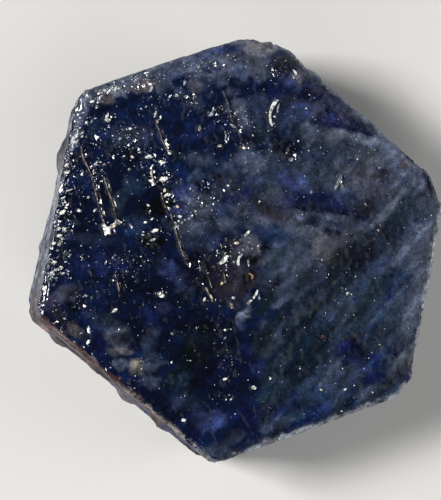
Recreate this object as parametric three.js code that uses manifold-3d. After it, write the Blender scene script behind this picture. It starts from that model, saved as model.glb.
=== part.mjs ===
// A rough sapphire: one tabular, six-sided corundum crystal that lies on its flat back face.
//
// Millimetres, +Z up. The crystal's c-axis is +Z, +X runs out through a corner and +Y out through a
// prism face. The origin is under the middle of the crystal, in the plane that it rests on.
//
// The crystal grew as a stack of bands, whose faces stand out or back a little from each other and
// leave ledges round the sides. Lumps sit on its west sides. Terraces, breaks, cracks, etch pits and
// chips are then taken out of it.

import * as THREE from "three";
import { ConvexGeometry } from "three/addons/geometries/ConvexGeometry.js";
import { mergeVertices } from "three/addons/utils/BufferGeometryUtils.js";
import Module from "manifold-3d";

const wasm = await Module();
wasm.setup();

// ---------------------------------------------------------------- driving dimensions

const THICKNESS = 12;

// The six prism faces and the worn corners between them: the way each looks, in degrees from +X,
// and its distance from the c-axis at the broad front face. `flare` is how much of a band's
// stand-out it takes, and `turn` how many degrees it swings for each millimetre of that stand-out:
// the two west faces swing towards the west corner, which swells, and away from the next corners.
const FACES = [
  { azimuth: 0, distance: 19.0, flare: 0.4, turn: 0 },
  { azimuth: 30, distance: 16.6, flare: 0.5, turn: 0 },
  { azimuth: 45, distance: 18.15, flare: 0.3, turn: 0 },
  { azimuth: 60, distance: 18.95, flare: 0.3, turn: 0 },
  { azimuth: 75, distance: 18.8, flare: 0.3, turn: 0 },
  { azimuth: 90, distance: 17.9, flare: 0.3, turn: 0 },
  { azimuth: 120, distance: 19.85, flare: -1.2, turn: 0 },
  { azimuth: 150, distance: 17.15, flare: 0.4, turn: -7 },
  { azimuth: 180, distance: 19.25, flare: 1.4, turn: 0 },
  { azimuth: 210, distance: 16.75, flare: 0.1, turn: 6.5 },
  { azimuth: 240, distance: 19.8, flare: -1.2, turn: 0 },
  { azimuth: 270, distance: 17.9, flare: 0.4, turn: 0 },
  { azimuth: 300, distance: 20.0, flare: 0.5, turn: 0 },
  { azimuth: 330, distance: 17.85, flare: 0.5, turn: 0 },
];

// Growth bands from the front face down: the height of each one's top, and how far it stands out.
const BANDS = [
  { top: THICKNESS, out: 0 },
  { top: 10.7, out: 0.14 },
  { top: 9.9, out: -0.06 },
  { top: 9.5, out: 0.26 },
  { top: 8.1, out: 0.12 },
  { top: 7.7, out: 0.34 },
  { top: 6.1, out: 0.3 },
  { top: 5.5, out: -0.02 },
  { top: 5.1, out: 0.24 },
  { top: 3.9, out: 0.1 },
  { top: 2.6, out: -0.22 },
  { top: 1.4, out: -0.5 },
];
const BAND_OVERLAP = 0.2; // how far a band runs into the one below, so that they fuse
const BAND_STRAY = 0.2; // how far a single face of a band strays from its place
const FLAT_LENGTH = 2.9; // length of the flats that a face breaks into
const FLAT_STRAY = 0.08; // how far those flats stray
const SHORTEST_SIDE = 0.5; // of a slice through the crystal
const RIM_BEVEL = 0.18; // the worn edge of the front face and of the base

// Lumps that grew on the prism faces: the face, the place along it and up it, the half-sizes along,
// up and out, and how far the lump's middle is sunk.
const LUMPS = [
  { azimuth: 210, along: -2.2, height: 8.6, size: [2.3, 0.9, 1.2], sunk: 0.6 },
  { azimuth: 210, along: 1.4, height: 6.2, size: [1.5, 0.8, 1.1], sunk: 0.4 },
  { azimuth: 210, along: 5.2, height: 8.3, size: [1.9, 0.7, 1.2], sunk: 0.6 },
  { azimuth: 210, along: -6.8, height: 4.6, size: [1.7, 1.0, 1.1], sunk: 0.4 },
  { azimuth: 150, along: -5.4, height: 6.8, size: [2.2, 0.8, 1.1], sunk: 0.5 },
  { azimuth: 150, along: 3.2, height: 4.4, size: [1.6, 0.7, 1.0], sunk: 0.4 },
  { azimuth: 150, along: 6.9, height: 8.4, size: [1.3, 0.6, 0.9], sunk: 0.5 },
  { azimuth: 270, along: 4.3, height: 3.4, size: [1.8, 0.8, 0.9], sunk: 0.6 },
  { azimuth: 90, along: -5.0, height: 4.8, size: [1.9, 0.7, 0.9], sunk: 0.6 },
  { azimuth: 330, along: -3.2, height: 5.0, size: [2.1, 0.9, 0.9], sunk: 0.6 },
];

// Terraces of the front face: the plan of each lower level, and how far it drops.
const TERRACES = [
  {
    plan: [
      [-2, 20], [-1.2, 16.2], [1.1, 15.7], [3.3, 14.9], [5.4, 13.5], [6.6, 12.2], [8.2, 11.6],
      [10.3, 10.2], [12.5, 8.1], [14.1, 7.2], [15.4, 5.8], [17.2, 4.3], [22, 1.5], [22, 20],
    ],
    drop: 0.1,
  },
  {
    plan: [
      [22, 0.6], [18.6, 0.3], [16.3, -1.1], [14.1, -1.8], [12.4, -2.9], [9.4, -4.6], [7.8, -5.6],
      [5.7, -6.8], [3.9, -7.9], [2.0, -9.7], [0.1, -11.4], [-2.2, -14.2], [-4.1, -17.3],
      [-4.5, -22], [22, -22],
    ],
    drop: 0.12,
  },
  {
    plan: [
      [-8.9, 18.4], [-9.6, 16.2], [-11.3, 14.2], [-12.3, 12.0], [-14.2, 9.8], [-15.1, 7.2],
      [-16.8, 4.9], [-17.6, 2.4], [-18.4, 0.9], [-22, 0.9], [-22, 18.4],
    ],
    drop: 0.18,
  },
  {
    plan: [
      [-22, -3.2], [-17.2, -3.6], [-15.8, -6.0], [-14.2, -8.4], [-12.4, -11.0], [-11.3, -13.4],
      [-9.4, -16.0], [-8.8, -20], [-22, -20],
    ],
    drop: 0.16,
  },
  {
    plan: [
      [22, -3.6], [17.8, -3.6], [16.1, -6.5], [14.6, -9.0], [12.8, -11.9], [10.2, -15.2],
      [6.6, -16.7], [3.4, -17.1], [-0.4, -17.0], [-0.6, -22], [22, -22],
    ],
    drop: 0.24,
  },
];

// Breaks in the front face: the place of each, its half-length and its depth. The deepest point is
// near the east side, which leaves a low scarp there that looks west.
const BREAKS = [
  [-7.7, 14.9, 0.8, 0.35], [-3.3, 13.5, 0.6, 0.3], [-5.2, 10.3, 1.0, 0.5], [-4.4, 9.3, 0.8, 0.45],
  [-4.9, 8.0, 1.1, 0.5], [-5.9, 8.3, 0.8, 0.4], [-4.8, 6.5, 0.9, 0.45], [-11.0, 5.3, 1.3, 0.55],
  [-9.7, 5.7, 0.9, 0.4], [-12.9, 7.9, 0.9, 0.4], [-11.5, 7.4, 0.7, 0.3], [-14.3, 8.1, 1.1, 0.4],
  [-12.0, 11.0, 0.9, 0.35], [-7.0, 3.9, 1.1, 0.45], [-7.7, 4.8, 0.8, 0.35], [-6.8, 6.3, 0.6, 0.3],
  [3.2, 10.4, 1.0, 0.45], [3.3, 8.2, 0.7, 0.35], [1.3, 9.4, 1.0, 0.4], [1.5, 12.2, 0.9, 0.35],
  [0.0, 11.3, 0.7, 0.3], [6.8, 11.5, 1.0, 0.45], [6.5, 10.1, 1.0, 0.45], [6.9, 6.2, 1.2, 0.55],
  [10.3, 2.6, 1.1, 0.4], [-8.4, -1.8, 1.0, 0.45], [-12.8, -1.8, 0.7, 0.35], [-14.9, 0.0, 0.8, 0.35],
  [-16.2, 3.2, 1.2, 0.4], [-4.8, -3.6, 0.9, 0.4], [-2.1, -0.7, 0.9, 0.45], [-0.5, -1.3, 1.2, 0.5],
  [0.8, -0.2, 1.4, 0.4], [-0.3, -3.1, 0.7, 0.5], [-0.7, -4.9, 1.3, 0.55], [-2.6, -4.6, 0.9, 0.4],
  [7.9, -7.4, 0.6, 0.3], [6.2, -11.3, 1.2, 0.35], [-3.3, -12.6, 0.8, 0.3], [-5.4, -11.0, 0.8, 0.3],
  [-16.3, -2.6, 1.6, 0.5], [-9.8, -9.4, 1.4, 0.3], [11.3, 3.6, 1.3, 0.3], [4.4, -10.4, 0.8, 0.3],
  [14.4, -3.4, 1.1, 0.3], [-14.0, -7.6, 1.2, 0.35], [2.7, 4.4, 1.5, 0.25], [-1.6, 6.6, 1.2, 0.25],
];

// Cracks across the front face: the points that each runs through, its width and its depth.
const CRACKS = [
  { path: [[-3.4, 14.0], [-3.6, 12.8], [-3.5, 11.3], [-3.3, 9.7]], width: 0.34, depth: 0.5 },
  { path: [[-4.8, 7.7], [-5.2, 5.4], [-5.2, 1.5], [-5.3, -0.3]], width: 0.38, depth: 0.6 },
  { path: [[-5.3, -0.1], [-4.8, -1.6], [-4.3, -2.8], [-4.2, -5.4]], width: 0.3, depth: 0.4 },
  { path: [[-4.2, -5.2], [-4.0, -7.3], [-4.5, -9.5], [-5.2, -12.1]], width: 0.26, depth: 0.3 },
  { path: [[-11.1, 13.2], [-11.0, 9.5], [-10.9, 7.4], [-11.0, 5.7]], width: 0.36, depth: 0.6 },
  { path: [[-9.9, 10.0], [-9.8, 8.5], [-10.0, 5.8]], width: 0.32, depth: 0.5 },
  { path: [[-12.7, 10.1], [-12.7, 8.4]], width: 0.26, depth: 0.3 },
  { path: [[-13.8, 2.1], [-13.9, 1.1]], width: 0.3, depth: 0.35 },
  { path: [[-11.8, 1.1], [-11.9, -0.8]], width: 0.36, depth: 0.4 },
  { path: [[-1.8, 0.7], [-1.6, -0.6], [-2.6, -2.8]], width: 0.32, depth: 0.4 },
  { path: [[3.1, 14.0], [3.1, 12.6], [3.4, 9.7], [3.3, 8.3]], width: 0.32, depth: 0.55 },
];
const CRACK_STRETCH = 1.9; // length of the straight stretches of a crack
const CRACK_STRAY = 0.13; // how far a crack wanders between the points it runs through
const CRACK_OVERLAP = 0.07; // how far each stretch runs into the next

// Chips out of the rim and corners: where each scoop is centred, and its radius.
const CHIPS = [
  { at: [12.9, -15.9, 13.2], radius: 2.5 },
  { at: [9.4, -20.1, 12.9], radius: 2.6 },
  { at: [13.4, -16.2, 7.6], radius: 2.3 },
  { at: [-11.6, 18.6, 8.4], radius: 2.4 },
  { at: [-10.6, -19.2, 9.2], radius: 2.2 },
  { at: [-18.6, -6.6, 12.9], radius: 1.9 },
  { at: [18.0, -8.2, 13.0], radius: 2.2 },
  { at: [14.4, 12.0, 13.2], radius: 2.4 },
  { at: [-20.8, 1.4, 2.0], radius: 2.2 },
  { at: [17.6, 6.4, 4.4], radius: 2.2 },
];

const PIT_COUNT = 62;
const PIT_SIZES = [0.28, 0.72]; // radius of the three-cornered etch pits
const PIT_DEPTH = 0.5; // depth of a pit, as a share of its radius
const RIM_CHIP_COUNT = 36;
const FLAKE_COUNT = 24; // flakes off the prism faces
const CLEARANCE = 0.6; // how far the cutters stand above the face that they cut

// ---------------------------------------------------------------- helpers

// A repeatable stream of numbers from 0 to 1 (mulberry32).
function randomStream(seed) {
  let state = seed;
  return () => {
    state = (state + 0x6d2b79f5) | 0;
    let t = Math.imul(state ^ (state >>> 15), 1 | state);
    t = (t + Math.imul(t ^ (t >>> 7), 61 | t)) ^ t;
    return ((t ^ (t >>> 14)) >>> 0) / 4294967296;
  };
}

const between = (random, low, high) => low + (high - low) * random();

function outward(degrees) {
  const angle = THREE.MathUtils.degToRad(degrees);
  return new THREE.Vector2(Math.cos(angle), Math.sin(angle));
}

// A point given by its distance out of a prism face, its place along the face and its height.
function onFace(azimuth, out, along, height) {
  const n = outward(azimuth);
  return [n.x * out - n.y * along, n.y * out + n.x * along, height];
}

function toSolid(geometry) {
  geometry.deleteAttribute("normal");
  geometry.deleteAttribute("uv");
  const merged = mergeVertices(geometry, 1e-4);
  const vertProperties = merged.attributes.position.array;
  const triVerts = new Uint32Array(merged.index.array);
  return new wasm.Manifold(new wasm.Mesh({ numProp: 3, vertProperties, triVerts }));
}

function toGeometry(solid) {
  const mesh = solid.getMesh();
  const geometry = new THREE.BufferGeometry();
  const positions = new Float32Array(mesh.vertProperties);
  geometry.setAttribute("position", new THREE.BufferAttribute(positions, 3));
  geometry.setIndex(new THREE.BufferAttribute(new Uint32Array(mesh.triVerts), 1));
  geometry.computeVertexNormals();
  return geometry;
}

const hull = (points) => toSolid(new ConvexGeometry(points.map((p) => new THREE.Vector3(...p))));

function scoop(x, y, z, radius, turn) {
  const ball = new THREE.IcosahedronGeometry(radius, 1);
  return toSolid(ball.rotateX(turn).rotateZ(turn).translate(x, y, z));
}

// ---------------------------------------------------------------- the grown crystal

// The corners of a slice with these faces: a square, cut back face by face, without the corners that
// come out too near the next one.
function sliceCorners(faces) {
  const half = 30;
  const square = [[-half, -half], [half, -half], [half, half], [-half, half]];
  let corners = square.map(([x, y]) => new THREE.Vector2(x, y));
  faces.forEach(({ azimuth, distance }) => {
    const n = outward(azimuth);
    const beyond = corners.map((corner) => n.dot(corner) - distance);
    corners = corners.flatMap((corner, i) => {
      const next = (i + 1) % corners.length;
      const kept = beyond[i] <= 0 ? [corner] : [];
      if (beyond[i] * beyond[next] < 0) {
        const crossing = beyond[i] / (beyond[i] - beyond[next]);
        kept.push(corner.clone().lerp(corners[next], crossing));
      }
      return kept;
    });
  });
  return corners.filter((corner, i) => {
    return corner.distanceTo(corners[(i + 1) % corners.length]) > SHORTEST_SIDE;
  });
}

// The outline of a slice, with each long side broken into flats that stray a little.
function sliceOutline(faces, random) {
  const corners = sliceCorners(faces);
  const points = corners.flatMap((corner, i) => {
    const side = corners[(i + 1) % corners.length].clone().sub(corner);
    const normal = new THREE.Vector2(side.y, -side.x).normalize();
    const flats = Math.max(1, Math.round(side.length() / FLAT_LENGTH));
    const broken = [corner];
    for (let k = 1; k < flats; k++) {
      const share = (k + between(random, -0.3, 0.3)) / flats;
      const stray = between(random, -FLAT_STRAY, FLAT_STRAY);
      broken.push(corner.clone().addScaledVector(side, share).addScaledVector(normal, stray));
    }
    return broken;
  });
  return new THREE.Shape(points);
}

function growthBand(index, random) {
  const { top, out } = BANDS[index];
  const isFront = index === 0;
  const isBase = index === BANDS.length - 1;
  const bottom = isBase ? 0 : BANDS[index + 1].top - BAND_OVERLAP;
  const faces = FACES.map(({ azimuth, distance, flare, turn }) => {
    const stray = isFront ? 0 : between(random, -BAND_STRAY, BAND_STRAY);
    const standOut = out > 0 ? flare * out : out;
    const swing = turn * Math.max(out, 0);
    return { azimuth: azimuth + swing, distance: distance + standOut + stray };
  });
  const bevel = isFront || isBase ? RIM_BEVEL : RIM_BEVEL / 3;
  const band = new THREE.ExtrudeGeometry(sliceOutline(faces, random), {
    depth: top - bottom - 2 * bevel,
    bevelThickness: bevel,
    bevelSize: bevel,
    bevelOffset: -bevel,
    bevelSegments: 1,
  });
  return toSolid(band.translate(0, 0, bottom + bevel));
}

// A rounded lump, half sunk in a prism face.
function lump({ azimuth, along, height, size, sunk }) {
  const [long, tall, deep] = size;
  const { distance } = FACES.find((face) => face.azimuth === azimuth);
  const ball = new THREE.IcosahedronGeometry(1, 1).scale(deep, long, tall);
  ball.rotateZ(THREE.MathUtils.degToRad(azimuth));
  return toSolid(ball.translate(...onFace(azimuth, distance - sunk, along, height)));
}

function grownCrystal() {
  const random = randomStream(17);
  const bands = BANDS.map((_, index) => growthBand(index, random));
  return wasm.Manifold.union([...bands, ...LUMPS.map(lump)]);
}

// ---------------------------------------------------------------- what broke and dissolved away

function terraceCutter({ plan, drop }) {
  const shape = new THREE.Shape(plan.map(([x, y]) => new THREE.Vector2(x, y)));
  const slab = new THREE.ExtrudeGeometry(shape, { depth: drop + CLEARANCE, bevelEnabled: false });
  return toSolid(slab.translate(0, 0, THICKNESS - drop));
}

// A break in the front face: a shallow pyramid with a ragged outline, point down.
function breakCutter([x, y, half, depth], random) {
  const turn = between(random, 60, 120);
  const long = outward(turn).multiplyScalar(half);
  const wide = outward(turn - 90).multiplyScalar(half * between(random, 0.55, 0.85));
  const corners = [10, 75, 130, 195, 250, 310].map((angle) => {
    const way = outward(angle + between(random, -18, 18)).multiplyScalar(between(random, 0.85, 1.1));
    return new THREE.Vector2(x, y).addScaledVector(long, way.y).addScaledVector(wide, way.x);
  });
  const rim = corners.flatMap((p) => [[p.x, p.y, THICKNESS], [p.x, p.y, THICKNESS + CLEARANCE]]);
  const deepest = new THREE.Vector2(x, y).addScaledVector(wide, between(random, 0.45, 0.75));
  return hull([...rim, [deepest.x, deepest.y, THICKNESS - depth]]);
}

// The points of a crack: those it runs through, and more between them that wander.
function crackPoints(path, random) {
  const through = path.map(([x, y]) => new THREE.Vector2(x, y));
  return through.flatMap((point, i) => {
    if (i === 0) return [point];
    const before = through[i - 1];
    const stretches = Math.ceil(point.distanceTo(before) / CRACK_STRETCH);
    return Array.from({ length: stretches }, (_, k) => {
      const stray = k + 1 < stretches ? between(random, -CRACK_STRAY, CRACK_STRAY) : 0;
      const spot = before.clone().lerp(point, (k + 1) / stretches);
      return spot.add(new THREE.Vector2(stray, 0));
    });
  });
}

// A crack: a row of V-shaped stretches, which narrow to almost nothing at the crack's two ends. Each
// stretch runs a little past its ends, into the stretches before and after it.
function crackCutters({ path, width, depth }, random) {
  const points = crackPoints(path, random);
  const last = points.length - 1;
  const fullness = points.map((_, i) => (i === 0 || i === last ? 0.15 : between(random, 0.7, 1)));
  return points.slice(1).map((end, i) => {
    const start = points[i];
    const along = end.clone().sub(start).normalize();
    const section = (point, full, past) => {
      const p = point.clone().addScaledVector(along, past);
      const half = along.clone().multiplyScalar((width / 2) * full);
      return [
        [p.x - half.y, p.y + half.x, THICKNESS + CLEARANCE],
        [p.x + half.y, p.y - half.x, THICKNESS + CLEARANCE],
        [p.x - half.y, p.y + half.x, THICKNESS],
        [p.x + half.y, p.y - half.x, THICKNESS],
        [p.x, p.y, THICKNESS - depth * full],
      ];
    };
    const opening = section(start, fullness[i], -CRACK_OVERLAP);
    return hull([...opening, ...section(end, fullness[i + 1], CRACK_OVERLAP)]);
  });
}

// An etch pit: a three-sided pyramid, point down, turned the same way all over the face.
function pitCutter(x, y, radius) {
  const corners = [30, 150, 270].map((azimuth) => outward(azimuth).multiplyScalar(radius));
  const rim = corners.flatMap((corner) => [
    [x + corner.x, y + corner.y, THICKNESS],
    [x + corner.x * 1.4, y + corner.y * 1.4, THICKNESS + CLEARANCE],
  ]);
  return hull([...rim, [x, y, THICKNESS - radius * PIT_DEPTH]]);
}

function etchPits() {
  const random = randomStream(5);
  const margin = 1.2;
  const cutters = [];
  while (cutters.length < PIT_COUNT) {
    const spot = new THREE.Vector2(between(random, -19, 19), between(random, -18, 18));
    const onFront = FACES.every((face) => outward(face.azimuth).dot(spot) < face.distance - margin);
    const share = spot.x < -2 ? 1 : 0.35; // the east half is smoother
    const radius = between(random, ...PIT_SIZES);
    if (onFront && random() < share) cutters.push(pitCutter(spot.x, spot.y, radius));
  }
  return cutters;
}

// Small chips along the rims of the front face and of the base.
function rimChips() {
  const random = randomStream(29);
  const corners = sliceCorners(FACES);
  return Array.from({ length: RIM_CHIP_COUNT }, (_, i) => {
    const isBase = i % 3 === 2;
    const start = Math.floor(random() * corners.length);
    const spot = corners[start].clone().lerp(corners[(start + 1) % corners.length], random());
    const radius = between(random, 0.5, isBase ? 1.8 : 1.1);
    const bite = between(random, 0.15, 0.4) * (isBase ? 2 : 1);
    const reach = 1 + (radius * 0.75 - bite) / spot.length();
    const z = isBase ? -radius * 0.45 : THICKNESS + radius * 0.5;
    return scoop(spot.x * reach, spot.y * reach, z, radius, random() * 6);
  });
}

// Flakes off the prism faces: shallow pyramids whose points look into the crystal.
function flakes() {
  const random = randomStream(41);
  const prism = FACES.filter((face) => face.azimuth % 60 === 30);
  return Array.from({ length: FLAKE_COUNT }, (_, i) => {
    const { azimuth, distance } = prism[i % prism.length];
    const middle = between(random, -8.5, 8.5);
    const height = between(random, 1.6, 9.6);
    const long = between(random, 0.9, 2.6);
    const tall = between(random, 0.5, 1.3);
    const mouth = distance + 1.3;
    const corners = [[-1, -0.3], [-0.4, 1], [0.8, 0.6], [1, -0.5], [0.1, -1]];
    const rim = corners.map(([u, v]) => onFace(azimuth, mouth, middle + u * long, height + v * tall));
    const point = onFace(azimuth, distance - between(random, 0.3, 0.7), middle, height + tall * 0.4);
    return hull([...rim, point]);
  });
}

function roughSapphire() {
  const random = randomStream(11);
  const cutters = [
    ...TERRACES.map(terraceCutter),
    ...BREAKS.map((place) => breakCutter(place, random)),
    ...CRACKS.flatMap((crack) => crackCutters(crack, random)),
    ...etchPits(),
    ...CHIPS.map(({ at, radius }, i) => scoop(...at, radius, i)),
    ...rimChips(),
    ...flakes(),
  ];
  return grownCrystal().subtract(wasm.Manifold.union(cutters));
}

// Set over the origin, since the worn corners are not evenly far out.
function centred(geometry) {
  geometry.computeBoundingBox();
  const middle = geometry.boundingBox.getCenter(new THREE.Vector3());
  return geometry.translate(-middle.x, -middle.y, -geometry.boundingBox.min.z);
}

// ---------------------------------------------------------------- the scene graph

const sapphireBlue = new THREE.MeshStandardMaterial({
  color: 0x1d2748,
  roughness: 0.28,
  metalness: 0,
});

const crystal = new THREE.Mesh(centred(toGeometry(roughSapphire())), sapphireBlue);
crystal.name = "sapphire_crystal";

const part = new THREE.Group();
part.name = "rough_sapphire";
part.add(crystal);

export default part;
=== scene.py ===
"""A rough sapphire: a cloudy dark blue corundum crystal lying on a pale floor.

The stone is worked in millimetres, measured from the crystal's c-axis and from the floor, and the
finished mesh is brought back to metres. Unless a line says otherwise, places are (x, y) in
millimetres from the c-axis, turns are in degrees from +X, and bare `seed` numbers only pick one
noise pattern from another.
"""

import math

import bmesh
import bpy
import numpy as np
from mathutils import Matrix, Vector


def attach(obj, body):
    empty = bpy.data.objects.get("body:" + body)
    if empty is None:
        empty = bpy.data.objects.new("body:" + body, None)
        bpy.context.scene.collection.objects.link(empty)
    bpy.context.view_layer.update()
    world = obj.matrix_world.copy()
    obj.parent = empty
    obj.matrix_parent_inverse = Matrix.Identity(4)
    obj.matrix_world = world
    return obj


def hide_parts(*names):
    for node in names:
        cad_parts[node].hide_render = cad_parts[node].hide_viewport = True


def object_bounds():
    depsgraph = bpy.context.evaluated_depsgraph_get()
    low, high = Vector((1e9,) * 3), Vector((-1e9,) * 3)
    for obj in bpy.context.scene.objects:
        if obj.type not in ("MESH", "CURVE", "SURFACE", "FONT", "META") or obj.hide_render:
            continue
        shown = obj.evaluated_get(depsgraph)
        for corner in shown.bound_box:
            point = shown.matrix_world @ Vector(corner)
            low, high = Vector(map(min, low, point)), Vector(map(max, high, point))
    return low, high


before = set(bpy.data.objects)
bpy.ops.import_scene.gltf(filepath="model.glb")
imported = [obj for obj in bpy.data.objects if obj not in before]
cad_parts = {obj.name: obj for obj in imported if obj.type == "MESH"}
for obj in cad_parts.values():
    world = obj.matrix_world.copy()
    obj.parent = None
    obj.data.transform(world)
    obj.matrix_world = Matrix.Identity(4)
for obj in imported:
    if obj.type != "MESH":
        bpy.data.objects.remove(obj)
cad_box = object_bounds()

MM = 0.001
AXIS = np.array((0.306, 0.018))  # where the c-axis stands, from the middle of the stone's box
FRONT = round(cad_box[1][2] / MM, 3)  # height of the broad front face
PROUD = 0.1  # how far the front's relief may stand above that height before it is pressed down
STREAKS_RUN = 30  # the way that the growth streaks run
SKIN_FACE = 0.12  # size of the even skin's faces, before it is thinned out
MOST_TRIANGLES = 197000
SPARED = 0.02  # how much less the front's points weigh than the rest when faces are thinned out
SKEWED = 38  # the way that the largest painted glint specks and the frosted lace of painted glints lie
REACH = np.array((19, 18))  # half the stone's length and width, near enough
PIT_TRIES = 1500  # etch pits thrown at the front face, of which the smooth parts keep few
PIT_RADIUS = (0.12, 0.36)  # the smallest and the largest
PIT_WAYS = np.radians((90, 210, 330))  # the ways that an etch pit's three sides look

# The faces and worn corners round the stone: the way each looks, and its distance from the c-axis.
FACES = (
    (0, 19.0), (30, 16.6), (45, 18.15), (60, 18.95), (75, 18.8), (90, 17.9), (120, 19.85),
    (150, 17.15), (180, 19.25), (210, 16.75), (240, 19.8), (270, 17.9), (300, 20.0), (330, 17.85),
)
STAINED_FACE = 210  # the south-west face, whose wall and rim are stained brown
STAIN_ENDS = 214  # the way from the c-axis to the place where the rim turns from brown to sandy
STAINED_WAY = 202  # the way to the middle of the stained part of the walls
CHALKY_WAY = 158  # the way to the middle of their chalky part
GLITTERING_FACES = (85, 245)  # rims that look between these ways stay glassy

# Sizes of the front face's crazed facets: size, tilt, lift and seed.
FACETS = ((2.3, 0.05, 0.015, 21), (1.0, 0.13, 0.02, 22), (0.5, 0.2, 0.012, 23))

# ---------------------------------------------------------------- the stone's colours

COLOURS = {
    "black": (7, 10, 18),
    "ink": (14, 18, 34),
    "inkblue": (20, 23, 54),
    "navy": (17, 25, 50),
    "deep": (26, 34, 74),
    "blue": (50, 61, 102),
    "bluegreen": (34, 50, 74),
    "steel": (42, 50, 72),
    "slate": (50, 60, 79),
    "haze": (74, 82, 103),
    "mist": (88, 96, 114),
    "bruise": (100, 108, 124),
    "stone": (102, 102, 110),
    "grey": (72, 76, 88),
    "taupe": (88, 82, 86),
    "olive": (100, 98, 90),
    "umber": (34, 34, 42),
    "teal": (46, 57, 70),
    "darkteal": (24, 35, 43),
    "dusk": (32, 41, 57),
    "pine": (15, 23, 26),
    "violet": (54, 50, 74),
    "darkbrown": (70, 48, 42),
    "tan": (140, 118, 112),
    "sand": (172, 163, 158),
    # glass: the colour of painted splinter highlights
    "glass": (246, 250, 244),
    "chalk": (146, 150, 156),
    "brown": (78, 58, 56),
    "bark": (41, 37, 43),
    "ochre": (158, 118, 94),
    # white, pale, cream and green: colours of painted glints on the chips
    "white": (238, 240, 236),
    "pale": (168, 180, 196),
    "cream": (226, 212, 190),
    "green": (150, 160, 132),
}
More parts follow.
